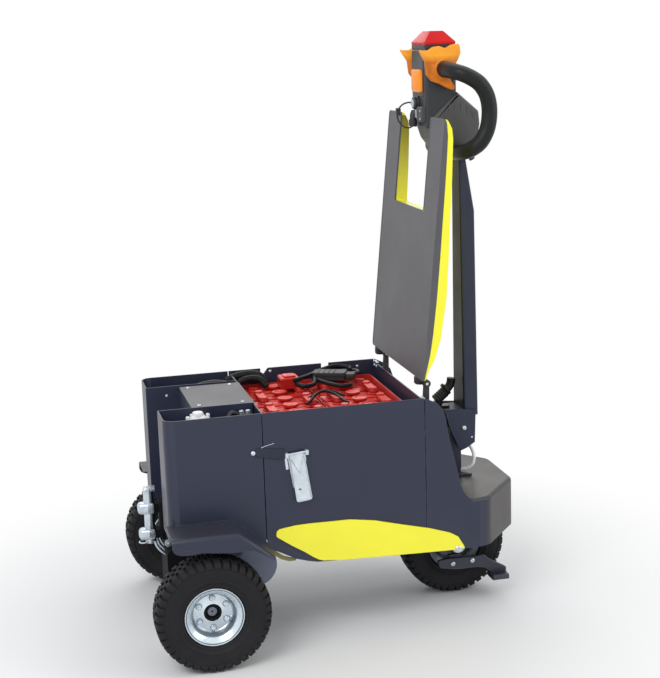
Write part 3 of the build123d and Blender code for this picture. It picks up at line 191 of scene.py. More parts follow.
# %% Floor
FLOOR_REACH, FADE_FROM, FADE_TO = 14.0, 0.55, 1.25
r = FLOOR_REACH
floor_mesh = bpy.data.meshes.new("studio_floor")
floor_mesh.from_pydata([(-r, -r, 0), (r, -r, 0), (r, r, 0), (-r, r, 0)], [], [(0, 1, 2, 3)])
floor = bpy.data.objects.new("studio_floor", floor_mesh)
bpy.context.scene.collection.objects.link(floor)
floor_paper = bpy.data.materials.new("floor_paper")
tree = node_tree(floor_paper)
paper = add_node(tree, "ShaderNodeBsdfPrincipled")
paper.inputs["Base Color"].default_value = (0.90, 0.90, 0.90, 1)
paper.inputs["Roughness"].default_value = 0.9
glow = add_node(tree, "ShaderNodeEmission")
distance = add_node(tree, "ShaderNodeVectorMath", operation="LENGTH")
link(tree, add_node(tree, "ShaderNodeTexCoord").outputs["Object"], distance.inputs[0])
fade = ramp(tree, distance.outputs["Value"], FADE_FROM, FADE_TO, kind="SMOOTHSTEP")
mix_to_output(tree, maths(tree, "MULTIPLY", looked_at(tree), fade), paper, glow, "ShaderNodeOutputMaterial")
floor_mesh.materials.append(floor_paper)
print("floor reaches", FLOOR_REACH, "m and is white from", FADE_TO, "m")

# %% [markdown]
# ## Finishes
# Real surfaces are never one flat colour. Five effects come back in one finish after another, so each is a
# node group, built once and placed with its own values. Picture textures would need the surface to be
# unwrapped first. These effects read object coordinates instead, and as every piece's origin is the
# machine's origin, the pattern rides with the piece. First come the helpers that the groups need.

# %% Helpers for node groups
def new_group(name, inputs, outputs):
    """A shader node group with named sockets; inputs are (name, kind, default)."""
    group = bpy.data.node_groups.new(name, "ShaderNodeTree")
    for label, kind, default in inputs:
        socket = group.interface.new_socket(label, in_out="INPUT", socket_type=kind)
        socket.default_value = default
    for label, kind in outputs:
        group.interface.new_socket(label, in_out="OUTPUT", socket_type=kind)
    return group, add_node(group, "NodeGroupInput").outputs, add_node(group, "NodeGroupOutput").inputs


def noise_of(tree, scale, detail, rough):
    """Noise in object coordinates."""
    node = add_node(tree, "ShaderNodeTexNoise")
    link(tree, add_node(tree, "ShaderNodeTexCoord").outputs["Object"], node.inputs["Vector"])
    for label, value in (("Scale", scale), ("Detail", detail), ("Roughness", rough)):
        feed(tree, node.inputs[label], value)
    return node.outputs["Fac"]


def object_place(tree):
    """The three object coordinates, as sockets."""
    split = add_node(tree, "ShaderNodeSeparateXYZ")
    link(tree, add_node(tree, "ShaderNodeTexCoord").outputs["Object"], split.inputs[0])
    return split.outputs


def mix_colour(tree, factor, first, second):
    """Mix of a colour's socket and a colour by a factor's socket."""
    node = add_node(tree, "ShaderNodeMix", data_type="RGBA")
    link(tree, factor, node.inputs[0])
    link(tree, first, node.inputs[6])
    node.inputs[7].default_value = (*second, 1)
    return node.outputs[2]


NUMBER, COLOUR, VECTOR = "NodeSocketFloat", "NodeSocketColor", "NodeSocketVector"
print("group helpers ready")

# %% [markdown]
# The mottle makes a colour a little lighter and darker in soft clouds. It also gives the clouds as a
# mask, which later makes the gloss uneven in the same places. The grain is a fine noise for the bump.

# %% Mottle and grain
mottle, into, out_of = new_group(
    "mottle", [("Colour", COLOUR, (0.5, 0.5, 0.5, 1)), ("Scale", NUMBER, 8.0), ("Amount", NUMBER, 0.1)],
    [("Colour", COLOUR), ("Mask", NUMBER)])
cloud = noise_of(mottle, into["Scale"], 5.0, 0.6)
spread = ramp(mottle, cloud, 0.3, 0.7, -1.0, 1.0)
tint = add_node(mottle, "ShaderNodeVectorMath", operation="SCALE")
link(mottle, into["Colour"], tint.inputs[0])
link(mottle, maths(mottle, "MULTIPLY_ADD", spread, into["Amount"], 1.0), tint.inputs["Scale"])
link(mottle, tint.outputs[0], out_of["Colour"])
link(mottle, cloud, out_of["Mask"])

grain, into, out_of = new_group(
    "grain", [("Scale", NUMBER, 600.0), ("Depth", NUMBER, 0.1), ("Distance", NUMBER, 0.001)],
    [("Normal", VECTOR)])
bump = add_node(grain, "ShaderNodeBump")
link(grain, noise_of(grain, into["Scale"], 2.0, 0.6), bump.inputs["Height"])
link(grain, into["Depth"], bump.inputs["Strength"])
link(grain, into["Distance"], bump.inputs["Distance"])
link(grain, bump.outputs[0], out_of["Normal"])
print("groups:", mottle.name, grain.name)

# %% [markdown]
# Paint wears first on convex edges. The Bevel node gives the normal that a rounded edge would have, and
# where it disagrees with the true normal there is an edge. Noise breaks the worn line into speckles.

# %% Edge wear
EDGE_RADIUS = 0.0022
edge_wear, into, out_of = new_group(
    "edge_wear", [("Amount", NUMBER, 0.5), ("Scale", NUMBER, 60.0)], [("Mask", NUMBER)])
round_edge = add_node(edge_wear, "ShaderNodeBevel", samples=4)
round_edge.inputs["Radius"].default_value = EDGE_RADIUS
agree = add_node(edge_wear, "ShaderNodeVectorMath", operation="DOT_PRODUCT")
link(edge_wear, round_edge.outputs[0], agree.inputs[0])
link(edge_wear, add_node(edge_wear, "ShaderNodeNewGeometry").outputs["Normal"], agree.inputs[1])
edge = ramp(edge_wear, agree.outputs["Value"], 0.99, 0.90)
speckle = ramp(edge_wear, noise_of(edge_wear, into["Scale"], 4.0, 0.7), 0.42, 0.62)
worn = maths(edge_wear, "MULTIPLY", edge, speckle)
link(edge_wear, maths(edge_wear, "MULTIPLY", worn, into["Amount"], clamp=True), out_of["Mask"])
print("group:", edge_wear.name)

# %% [markdown]
# Dust gathers low down, near the floor, so its mask fades with height. The last effect, facing, is a mask
# of the faces that look one way. It paints light and shade: a lighter colour on the side that the light
# falls on is painted light, and a darker one on the side away from it is painted shade.

# %% Dust and facing
dust, into, out_of = new_group(
    "dust", [("Height", NUMBER, 0.25), ("Amount", NUMBER, 0.3)], [("Mask", NUMBER)])
low_down = ramp(dust, object_place(dust)["Z"], into["Height"], 0.0)
patchy = ramp(dust, noise_of(dust, 14.0, 6.0, 0.65), 0.35, 0.75)
settled = maths(dust, "MULTIPLY", low_down, patchy)
link(dust, maths(dust, "MULTIPLY", settled, into["Amount"], clamp=True), out_of["Mask"])

# facing masks the faces that look one way, for painting light and shade on them.
facing, into, out_of = new_group(
    "facing", [("Direction", VECTOR, (0, 0, 1)), ("Amount", NUMBER, 1.0)], [("Mask", NUMBER)])
turned_to = add_node(facing, "ShaderNodeVectorMath", operation="DOT_PRODUCT")
link(facing, add_node(facing, "ShaderNodeTexCoord").outputs["Normal"], turned_to.inputs[0])
link(facing, into["Direction"], turned_to.inputs[1])
towards = ramp(facing, turned_to.outputs["Value"], 0.6, 0.95)
link(facing, maths(facing, "MULTIPLY", towards, into["Amount"], clamp=True), out_of["Mask"])
print("shared effects:", [g.name for g in bpy.data.node_groups])

# %% [markdown]
# A finish is then a Principled shader with those effects in front of it. Numbers that are the same all
# over a surface, such as metallic or coat, are set on the shader's own sockets.

# %% A finish
DUST_COLOUR = (0.16, 0.155, 0.15)
COAT_ROUGHNESS = 0.12


def use_group(tree, group, **values):
    """Places a group in a tree with its values set, and gives its outputs."""
    node = add_node(tree, "ShaderNodeGroup", node_tree=group)
    for label, value in values.items():
        socket = node.inputs[label]
        socket.default_value = (*value, 1) if socket.type == "RGBA" else value
    return node.outputs


def finish(name, colour, rough, metal=0.0, coat=0.0, mottled=(8.0, 0.08), grained=(600.0, 0.1), wear=None,
           wear_colour=(0.45, 0.46, 0.48), dusty=None, rough_spread=0.06, specular=0.5, sides=()):
    """A material: mottled colour, wear and dust over it, uneven gloss and a fine grain.

    mottled and grained are (scale, amount), wear is (amount, scale), dusty is (height, amount), and each
    of the sides is (direction, amount, colour), a colour painted on the faces that look that way: painted
    light where it is lighter, and painted shade where it is darker.
    """
    material = bpy.data.materials.new(name)
    tree = node_tree(material)
    principled = add_node(tree, "ShaderNodeBsdfPrincipled")
    link(tree, principled.outputs[0], add_node(tree, "ShaderNodeOutputMaterial").inputs["Surface"])
    shader = principled.inputs
    base = use_group(tree, mottle, Colour=colour, Scale=mottled[0], Amount=mottled[1])
    shade = base["Colour"]
    smoothest, roughest = max(rough - rough_spread, 0.02), min(rough + rough_spread, 1.0)
    gloss = ramp(tree, base["Mask"], 0.3, 0.7, smoothest, roughest)
    # Each side paints light or shade: its colour goes over the faces that look its way.
    for direction, amount, painted_side_colour in sides:
        side = use_group(tree, facing, Direction=direction, Amount=amount)
        shade = mix_colour(tree, side["Mask"], shade, painted_side_colour)
    if wear:
        mask = use_group(tree, edge_wear, Amount=wear[0], Scale=wear[1])["Mask"]
        shade = mix_colour(tree, mask, shade, wear_colour)
        gloss = maths(tree, "MAXIMUM", gloss, maths(tree, "MULTIPLY", mask, 0.4))
    if dusty:
        mask = use_group(tree, dust, Height=dusty[0], Amount=dusty[1])["Mask"]
        shade = mix_colour(tree, mask, shade, DUST_COLOUR)
        gloss = maths(tree, "ADD", gloss, maths(tree, "MULTIPLY", mask, 0.5), clamp=True)
    link(tree, shade, shader["Base Color"])
    link(tree, gloss, shader["Roughness"])
    link(tree, use_group(tree, grain, Scale=grained[0], Depth=grained[1])["Normal"], shader["Normal"])
    for label, value in (("Metallic", metal), ("Coat Weight", coat), ("Coat Roughness", COAT_ROUGHNESS),
                         ("Specular IOR Level", specular)):
        shader[label].default_value = value
    return material


print("a finish is made from", [g.name for g in bpy.data.node_groups])

# %% [markdown]
# The body is dark blue sheet metal with a satin coat, and its tops are a little lighter, as painted light.
# Its rear cowl has painted light that is lighter and browner on its top and browner on its rear faces. The
# lid's panel and the control cover are grey, the hood and the long plates bright yellow, and the battery's
# tray is red. Paints that share a coat share their values, and only the colour changes.

# %% Paints
UP, DOWN, TO_FRONT = (0, 0, 1), (0, 0, -1), (-1, 0, 0)
TO_REAR_NEAR, TO_REAR_FAR = (0.94, -0.34, 0), (0.94, 0.34, 0)
NAVY, COWL_LIT_BROWN = (0.025, 0.029, 0.056), (0.040, 0.034, 0.031)
SHEET = dict(rough=0.42, coat=0.06, grained=(900.0, 0.12), wear=(0.35, 70.0), wear_colour=(0.20, 0.21, 0.24),
             dusty=(0.30, 0.25), specular=0.36)
# Painted light: the body's tops get a lighter colour.
BODY_PAINT = finish("body_paint", NAVY, **SHEET, sides=[(UP, 0.8, (0.038, 0.039, 0.052))])
# Painted light: the cowl's top is lighter and browner, and its rear faces are painted brown.
COWL_PAINT = finish("cowl_paint", NAVY, **SHEET, sides=[
    (UP, 0.9, (0.056, 0.050, 0.045)), (TO_REAR_NEAR, 0.9, COWL_LIT_BROWN), (TO_REAR_FAR, 0.9, COWL_LIT_BROWN)])
# Painted shade: the tiller's faces that look forward are nearly black.
TILLER_PAINT = finish("tiller_paint", (0.042, 0.047, 0.078), 0.42, coat=0.04, grained=(900.0, 0.12),
                      wear=(0.3, 70.0), wear_colour=(0.16, 0.17, 0.20), specular=0.14,
                      sides=[(TO_FRONT, 1.0, (0.006, 0.006, 0.006))])
PEDAL_PAINT = finish("pedal_paint", (0.024, 0.027, 0.044), 0.42, coat=0.1, grained=(900.0, 0.15),
                     wear=(0.5, 60.0), wear_colour=(0.2, 0.2, 0.22), dusty=(0.2, 0.12))
PANEL_GREY = finish("panel_grey", (0.090, 0.090, 0.099), 0.5, specular=0.4, grained=(700.0, 0.15),
                    wear=(0.4, 50.0), wear_colour=(0.22, 0.22, 0.24))
YELLOW_PAINT = finish("yellow_paint", (0.97, 0.91, 0.03), 0.35, coat=0.25, mottled=(5.0, 0.03),
                      grained=(900.0, 0.08), wear=(0.25, 60.0), wear_colour=(0.55, 0.50, 0.12),
                      dusty=(0.28, 0.2))
# Painted shade: the yellow sheet's turned-in strip is this dark khaki.
SHADED_RETURN_YELLOW = finish("shaded_return_yellow", (0.20, 0.185, 0.055), 0.5, mottled=(9.0, 0.12), grained=(700.0, 0.2),
                     dusty=(0.30, 0.3))
RED_PAINT = finish("red_paint", (0.55, 0.030, 0.022), 0.42, coat=0.03, specular=0.3, mottled=(12.0, 0.10),
                   grained=(700.0, 0.15), wear=(0.4, 60.0), wear_colour=(0.35, 0.10, 0.08))
print("paints:", len(bpy.data.materials) - 1)

# %% [markdown]
# Zinc plate is not a mirror: it is mottled by its crystals, and fingers and weather dull it. The rims are
# brighter and bluer than the small parts, and the black axle below the body hardly shines at all.

# %% Metals
PLATED = dict(colour=(0.60, 0.66, 0.72), rough=0.30, mottled=(26.0, 0.20), grained=(320.0, 0.16),
              rough_spread=0.10)
ZINC = finish("bright_zinc", metal=0.80, wear=(0.2, 80.0), wear_colour=(0.85, 0.86, 0.88), dusty=(0.25, 0.18),
              **PLATED)
# Painted shade: the pin and jaws are dark teal on the faces that look towards the tiller.
PIN_ZINC = finish("pin_zinc", metal=0.75, sides=[((1.7, -0.1, 0), 1.0, (0.03, 0.09, 0.11))], **PLATED)
# This darker zinc is dull zinc on the hubs, and painted shade on the castor's rim and the rims' dark rings.
DULL_ZINC_AND_SHADE = finish("dull_zinc_and_shade", (0.22, 0.25, 0.29), 0.42, metal=0.7, mottled=(18.0, 0.20),
                   grained=(300.0, 0.3), dusty=(0.30, 0.3))
# Painted shade: the rim's faces that look down are darker and bluer.
RIM_ZINC = finish("rim_zinc", (0.66, 0.75, 0.82), 0.24, metal=0.80, mottled=(22.0, 0.16),
                  grained=(320.0, 0.14), wear=(0.2, 80.0), wear_colour=(0.90, 0.92, 0.94), rough_spread=0.10,
                  sides=[(DOWN, 0.5, (0.30, 0.42, 0.62))])
DARK_STEEL = finish("dark_steel", (0.028, 0.029, 0.034), 0.45, coat=0.1, grained=(500.0, 0.2),
                    wear=(0.6, 60.0), wear_colour=(0.22, 0.22, 0.23), dusty=(0.30, 0.35))
AXLE_BLACK = finish("axle_black", (0.006, 0.006, 0.007), 0.7, mottled=(14.0, 0.2), grained=(300.0, 0.3),
                    specular=0.12)
CAST_ALLOY = finish("cast_alloy", (0.16, 0.18, 0.25), 0.5, metal=0.6, mottled=(16.0, 0.12),
                    grained=(260.0, 0.35), dusty=(0.30, 0.35))
print("paints and metals:", len(bpy.data.materials) - 1)

# %% [markdown]
# Plastic and rubber differ from paint mostly in their grain and in how little they shine. The red cells
# are brighter on top, where light reaches them, and the tyres are the roughest finish of all.

# %% Plastics and rubber
BLACK_PLASTIC = finish("black_plastic", (0.020, 0.021, 0.024), 0.48, mottled=(30.0, 0.08),
                       grained=(1300.0, 0.22))
HEAD_GREY = finish("head_grey", (0.027, 0.030, 0.035), 0.46, mottled=(20.0, 0.06), grained=(1300.0, 0.2),
                   specular=0.4)
# Painted light: grey plastic is a lighter olive grey on the faces that look up and towards the tiller.
GREY_PLASTIC = finish("grey_plastic", (0.062, 0.063, 0.064), 0.50, mottled=(20.0, 0.06),
                      grained=(1300.0, 0.25), specular=0.4, sides=[((0.8, 0, 1.0), 1.0, (0.15, 0.15, 0.13))])
# Painted highlight: the rubber grips are lighter on the faces that look up.
GRIP_RUBBER = finish("grip_rubber", (0.011, 0.012, 0.014), 0.40, mottled=(25.0, 0.08), grained=(900.0, 0.3),
                     specular=0.22, sides=[((0.2, -0.2, 1), 0.8, (0.085, 0.084, 0.078))])
STRAP_BLACK = finish("strap_black", (0.020, 0.023, 0.046), 0.44, specular=0.34, mottled=(14.0, 0.1),
                     grained=(900.0, 0.3))
CABLE_BLACK = finish("cable_black", (0.007, 0.007, 0.008), 0.50, mottled=(25.0, 0.10), grained=(900.0, 0.3),
                     specular=0.2)
CONDUIT_WHITE = finish("conduit_white", (0.97, 0.97, 0.96), 0.45, mottled=(30.0, 0.02), grained=(900.0, 0.08))
WHITE_PLASTIC = finish("white_plastic", (0.93, 0.93, 0.92), 0.4, mottled=(20.0, 0.03), grained=(900.0, 0.1))
RED_PLASTIC = finish("red_plastic", (0.42, 0.014, 0.010), 0.36, coat=0.05, mottled=(18.0, 0.08),
                     grained=(700.0, 0.12), specular=0.3, sides=[(UP, 1.0, (0.86, 0.046, 0.030))])
CAP_RED = finish("cap_red", (0.66, 0.016, 0.016), 0.48, specular=0.16, mottled=(14.0, 0.10),
                 grained=(900.0, 0.12))
ORANGE_PLASTIC = finish("orange_plastic", (1.0, 0.32, 0.020), 0.40, coat=0.03, mottled=(20.0, 0.05),
                        grained=(1000.0, 0.15), specular=0.25)
# Painted light: the knobs are a lighter orange on the faces that look up, forward and to the near side.
KNOB_ORANGE = finish("knob_orange", (0.62, 0.17, 0.012), 0.40, coat=0.03, mottled=(45.0, 0.25),
                     grained=(1000.0, 0.15), specular=0.25,
                     sides=[((-0.5, -0.3, 0.8), 0.9, (0.95, 0.36, 0.03))])
TYRE_RUBBER = finish("tyre_rubber", (0.012, 0.012, 0.014), 0.66, mottled=(18.0, 0.15), grained=(420.0, 0.35),
                     dusty=(0.26, 0.08), rough_spread=0.10, specular=0.22)
print("finishes:", len(bpy.data.materials) - 1)

# %% [markdown]
# Two finishes change over the piece in a way of their own, so their nodes stay in the material. The speed
# knobs' orange turns to amber towards the top, as painted light. The walls inside the lid's cut-out lie in
# the shade of the black head, so the hood's yellow is darker there, most of all towards the open end.

# %% Painted light on the knobs and a shaded cut-out
LIT_AMBER, AMBER_FROM, AMBER_TO = (1.0, 0.40, 0.03), 1.301, 1.316
SHADED_YELLOW, CUT_HALF_WIDTH, CUT_FOOT, CUT_TIP = (0.24, 0.215, 0.020), 0.1186, 0.95, 1.17


def mix_over(material, mask_of, colour):
    """Mixes a colour over a finish's Base Color by a mask that a function makes in the finish's tree."""
    tree = material.node_tree
    base_colour = next(node for node in tree.nodes if node.type == "BSDF_PRINCIPLED").inputs["Base Color"]
    shade = base_colour.links[0].from_socket
    link(tree, mix_colour(tree, mask_of(tree), shade, colour), base_colour)


def near_top(tree):
    return ramp(tree, object_place(tree)["Z"], AMBER_FROM, AMBER_TO)


def in_cut_out(tree):
    place = object_place(tree)
    inside = maths(tree, "LESS_THAN", maths(tree, "ABSOLUTE", place["Y"]), CUT_HALF_WIDTH)
    deep = ramp(tree, place["Z"], CUT_FOOT, CUT_TIP, 0.15, 1.0)
    walls = [use_group(tree, facing, Direction=(0, side, 0), Amount=1.0)["Mask"] for side in (-1, 1)]
    return maths(tree, "MULTIPLY", maths(tree, "MULTIPLY", inside, deep), maths(tree, "ADD", *walls))


# Painted light: the knobs turn amber towards their tops.
mix_over(KNOB_ORANGE, near_top, LIT_AMBER)
HOOD_YELLOW = YELLOW_PAINT.copy()
HOOD_YELLOW.name = "hood_yellow"
mix_over(HOOD_YELLOW, in_cut_out, SHADED_YELLOW)
print("knob and hood changed, finishes:", len(bpy.data.materials) - 1)

# %% [markdown]
# Every solid gets a finish, also those that a finer piece will stand in for later. One line for each
# finish, with the names of its solids, shows at a glance which parts are made of the same stuff.

# %% Dress the solids
def paint(material, *names):
    """Gives solids of the frame a finish."""
    for name in names:
        solid = nodes[name]
        solid.data.materials.clear()
        solid.data.materials.append(material)


paint(BODY_PAINT, "chassis_frame", "front_pod_left", "front_pod_right", "side_panel_left", "side_panel_right",
      "battery_bay_walls", "coupling_bulkhead")
paint(COWL_PAINT, "rear_cowl", "tiller_post")
paint(PANEL_GREY, "control_cover", "lid_panel", "lid_hinges")
paint(YELLOW_PAINT, "side_trims")
paint(HOOD_YELLOW, "lid_hood")
paint(RIM_ZINC, "rim_left", "rim_right", "castor_rim")
paint(ZINC, "latches", "coupling", "coupling_pin", "castor_mount", "castor_axle", "pivot_bolt")
paint(DARK_STEEL, "latch_straps", "hinge_brackets", "hub_left", "hub_right", "castor_fork", "castor_pedal")
paint(AXLE_BLACK, "axle_housing")
paint(CAST_ALLOY, "drive_motor")
paint(TILLER_PAINT, "tiller_bracket", "tiller_column")
paint(BLACK_PLASTIC, "battery_plug", "relay", "tilt_lock", "key_switch")
paint(GREY_PLASTIC, "tiller_bowl", "tiller_head")
paint(GRIP_RUBBER, "handle_left", "handle_right")
paint(WHITE_PLASTIC, "charge_socket")
paint(CONDUIT_WHITE, "conduit")
paint(RED_PAINT, "battery_tray")
paint(RED_PLASTIC, "battery_cells", "battery_links", "head_cap")
paint(ORANGE_PLASTIC, "head_button", "speed_knob_left", "speed_knob_right")
paint(TYRE_RUBBER, "tyre_left", "tyre_right", "castor_tyre")
print("painted", sum(1 for n in nodes.values() if n.data.materials))

# %% [markdown]
# ## Tools for making pieces
# A piece starts as a bmesh in millimetres, drawn from the same numbers as the solids. Pieces could be
# modelled by hand, but drawn ones stay exact and can be changed by a number. Nearly all of them are rings
# of points joined by faces, so that comes first.

# %% Rings of points
def across(axis):
    """Two directions square to an axis and to each other."""
    along = Vector(axis).normalized()
    first = along.orthogonal().normalized() if abs(along.y) < 0.9 else Vector((1, 0, 0))
    return first, along.cross(first)


def join_rings(bm, rings, skin=0, ends=False):
    """Faces between rings of points; a ring of one point is a tip."""
    for lower, upper in zip(rings, rings[1:]):
        for i in range(max(len(lower), len(upper))):
            j = i + 1
            corners = [lower[i % len(lower)], lower[j % len(lower)],
                       upper[j % len(upper)], upper[i % len(upper)]]
            corners = list(dict.fromkeys(corners))
            if len(corners) > 2:
                bm.faces.new(corners).material_index = skin
    if ends:
        for ring in (rings[0], rings[-1]):
            if len(ring) > 2:
                bm.faces.new(ring).material_index = skin


trial = bmesh.new()
wedge = [[trial.verts.new((x, y, z)) for x, y in ((0, 0), (1, 0), (0, 1))] for z in (0, 1)]
join_rings(trial, wedge, ends=True)
print("a wedge has", len(trial.faces), "faces")
trial.free()

# %% [markdown]
# Wheels, nuts and caps are outlines turned round an axis, as on a lathe, and a brick is two rings of four
# points. Blender's Screw modifier turns outlines too, but it needs an object for each of them.

# %% Turned shapes and bricks
def turn(bm, outline, at, axis=(0, 1, 0), steps=64, closed=False, skin=0, phase=0.0):
    """Turns an outline of (radius, height) round an axis; a radius of 0 makes a tip."""
    first, second = across(axis)
    along = Vector(axis).normalized()
    rings = []
    for radius, height in outline:
        middle = Vector(at) + along * height
        if radius == 0:
            rings.append([bm.verts.new(middle)])
            continue
        angles = (phase + 2 * pi * i / steps for i in range(steps))
        rings.append([bm.verts.new(middle + radius * (cos(a) * first + sin(a) * second)) for a in angles])
    join_rings(bm, rings + rings[:1] if closed else rings, skin)


def brick(bm, x, y, z, skin=0):
    """A box between two places on each axis."""
    plan = [(x[0], y[0]), (x[1], y[0]), (x[1], y[1]), (x[0], y[1])]
    join_rings(bm, [[bm.verts.new((*p, height)) for p in plan] for height in z], skin, ends=True)


trial = bmesh.new()
turn(trial, [(0, 0), (10, 0), (10, 5), (0, 5)], (0, 0, 0))
print("a turned disc has", len(trial.faces), "faces")
trial.free()

# %% [markdown]
# Hoses, rods and grips are round bars along a route. The route is a smooth line through a few points, and
# the ring is swung from one step to the next, so the bar never twists. A curve object with a round bevel
# would do as well, but its thickness is harder to change along the way.

# %% Bars along a route
def flowing(points, steps):
    """Points of a smooth line through given points."""
    given = [Vector(p) for p in points]
    padded = [2 * given[0] - given[1]] + given + [2 * given[-1] - given[-2]]
    line = []
    for a, b, c, d in zip(padded, padded[1:], padded[2:], padded[3:]):
        for i in range(steps):
            t = i / steps
            line.append(0.5 * (2 * b + (c - a) * t + (2 * a - 5 * b + 4 * c - d) * t * t
                               + (3 * b - 3 * c + d - a) * t ** 3))
    return line + [given[-1]]


def bar(bm, route, radius, sides=16, skin=0):
    """Round bar along a route; radius is a number or one number for each point."""
    route = [Vector(p) for p in route]
    radii = radius if isinstance(radius, (list, tuple)) else [radius] * len(route)
    before = (route[1] - route[0]).normalized()
    first, second = across(before)
    rings = []
    for i, point in enumerate(route):
        here = (route[min(i + 1, len(route) - 1)] - route[max(i - 1, 0)]).normalized()
        swing = before.rotation_difference(here)
        first, second, before = swing @ first, swing @ second, here
        rings.append([bm.verts.new(point + radii[i] * (cos(a) * first + sin(a) * second))
                      for a in (2 * pi * k / sides for k in range(sides))])
    join_rings(bm, rings, skin, ends=True)


print("a line through 3 points has", len(flowing([(0, 0, 0), (1, 0, 0), (1, 1, 0)], 6)), "points")

# %% [markdown]
# The same nuts and screws hold the whole machine together, so they are drawn once: a hexagon nut on its
# washer with the stud's end through it, and a low domed screw with a socket.

# %% Nuts and screws
WASHER_HIGH = 1.6


def hex_bolt(bm, at, axis, flats, height, washer, stud, phase=0.0):
    """Nut on a washer; flats is the nut's width, and washer and stud are radii."""
    corner = flats / 2 / cos(pi / 6)
    chamfer, top = WASHER_HIGH + height * 0.8, WASHER_HIGH + height
    tip = top + stud
    disc = [(0, 0), (washer, 0), (washer, 1.2), (washer - 0.4, WASHER_HIGH), (0, WASHER_HIGH)]
    turn(bm, disc, at, axis, 24)
    nut = [(0, WASHER_HIGH), (corner, WASHER_HIGH), (corner, chamfer), (corner * 0.88, top), (0, top)]
    turn(bm, nut, at, axis, 6, phase=phase)
    turn(bm, [(stud, top - 0.5), (stud, tip - 0.6), (stud - 0.6, tip), (0, tip)], at, axis, 16)


def pan_screw(bm, at, axis, radius, height, skin=0):
    """Low domed screw head with a socket."""
    mouth, socket = radius * 0.55, radius * 0.42
    dome = [(0, 0), (radius, 0), (radius, height * 0.35), (radius * 0.85, height * 0.75), (mouth, height)]
    hollow = [(mouth, height), (socket, height), (socket, height * 0.4), (0, height * 0.4)]
    turn(bm, dome, at, axis, 24, skin=skin)
    turn(bm, hollow, at, axis, 24, skin=skin)


trial = bmesh.new()
hex_bolt(trial, (0, 0, 0), (0, 0, 1), 10, 4.5, 6.2, 2)
print("a nut has", len(trial.faces), "faces")
trial.free()

# %% [markdown]
# The last step turns a drawing into a piece. It scales it to metres, shades it smooth up to an angle and
# hangs it on the body that it moves with. It also hides the solids that it stands for.

# %% From a drawing to a piece
def piece(name, bm, body, materials, stands_for=(), smooth=35):
    """Finishes a bmesh in millimetres as a piece that rides on a body."""
    bmesh.ops.remove_doubles(bm, verts=bm.verts, dist=0.001)
    bmesh.ops.recalc_face_normals(bm, faces=bm.faces)
    bmesh.ops.scale(bm, vec=(MM, MM, MM), verts=bm.verts)
    mesh = bpy.data.meshes.new(name)
    bm.to_mesh(mesh)
    bm.free()
    for material in materials:
        mesh.materials.append(material)
    for polygon in mesh.polygons:
        polygon.use_smooth = True
    mesh.set_sharp_from_angle(angle=radians(smooth))
    made = bpy.data.objects.new(name, mesh)
    bpy.context.scene.collection.objects.link(made)
    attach(made, body)
    if stands_for:
        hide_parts(*stands_for)
    return made


print("piece helper ready")

# %% [markdown]
# ## Tyres
# These are small industrial tyres with a block tread. A block is a short strip that follows the crown down
# over the shoulder, so one function draws it from a path of outer points and a path of inner points. A
# bump map could fake the blocks, but the tyre's outline against the floor would stay smooth.

# %% Tread blocks
SHOULDER_OUT = [(130.0, 15.5), (129.6, 24), (128.4, 31.0), (125.4, 37.0), (120.5, 40.8), (114.5, 41.8)]
SHOULDER_IN = [(123, 15.5), (122, 24), (120, 30), (116, 34.5), (112.5, 37), (110, 39)]
CENTRE_OUT = [(130.0, 1.4), (130.0, 8), (130.0, 13.4)]
CENTRE_IN = [(123, 1.4), (123, 8), (123, 13.4)]
SHOULDER_HALF, SHOULDER_LEAN = 6.6, 0.004
CENTRE_HALF, CENTRE_LEAN = 6.8, 0.010


def lug(bm, at, outer, inner, side, angle, half_wide, lean):
    """One tread block between an outer and an inner path, tapered towards its top."""
    rings = []
    for k, ((r_out, y_out), (r_in, y_in)) in enumerate(zip(outer, inner)):
        middle = angle + lean * k
        flank = [(r_in, y_in, half_wide + 0.9), (r_out - 0.7, y_out, half_wide + 0.1),
                 (r_out, y_out, half_wide - 0.7)]
        ring = [(r, y, middle - half / r) for r, y, half in flank]
        ring += [(r, y, middle + half / r) for r, y, half in reversed(flank)]
        rings.append([bm.verts.new((at[0] + r * cos(a), at[1] + side * y, at[2] + r * sin(a)))
                      for r, y, a in ring])
    join_rings(bm, rings, ends=True)


trial = bmesh.new()
lug(trial, (0, 0, 0), SHOULDER_OUT, SHOULDER_IN, 1, 0, SHOULDER_HALF, SHOULDER_LEAN)
print("a shoulder block has", len(trial.faces), "faces")
trial.free()

# %% [markdown]
# The smooth part of the tyre is an outline turned round the axle. Two rows of shoulder blocks and two rows
# of centre blocks, each set half a pitch from the next, make the pattern, and all of it is one mesh.

# %% Tyres
TYRE_SIDE = [(51.6, 20.2), (56, 23.4), (60, 26.4), (64, 28.6), (67.8, 30.6), (69.0, 33.0), (71.0, 36.2),
             (73.6, 37.4), (75.6, 36.8), (80, 38.8), (82.2, 40.0), (83.4, 41.2), (85.2, 41.4), (86.6, 40.6),
             (94, 41.3), (102, 41.7), (108.5, 41.5), (113, 40.3), (118, 37.2), (121.6, 33), (123.8, 27),
             (124.8, 14), (125.0, 0)]
LUGS = 40


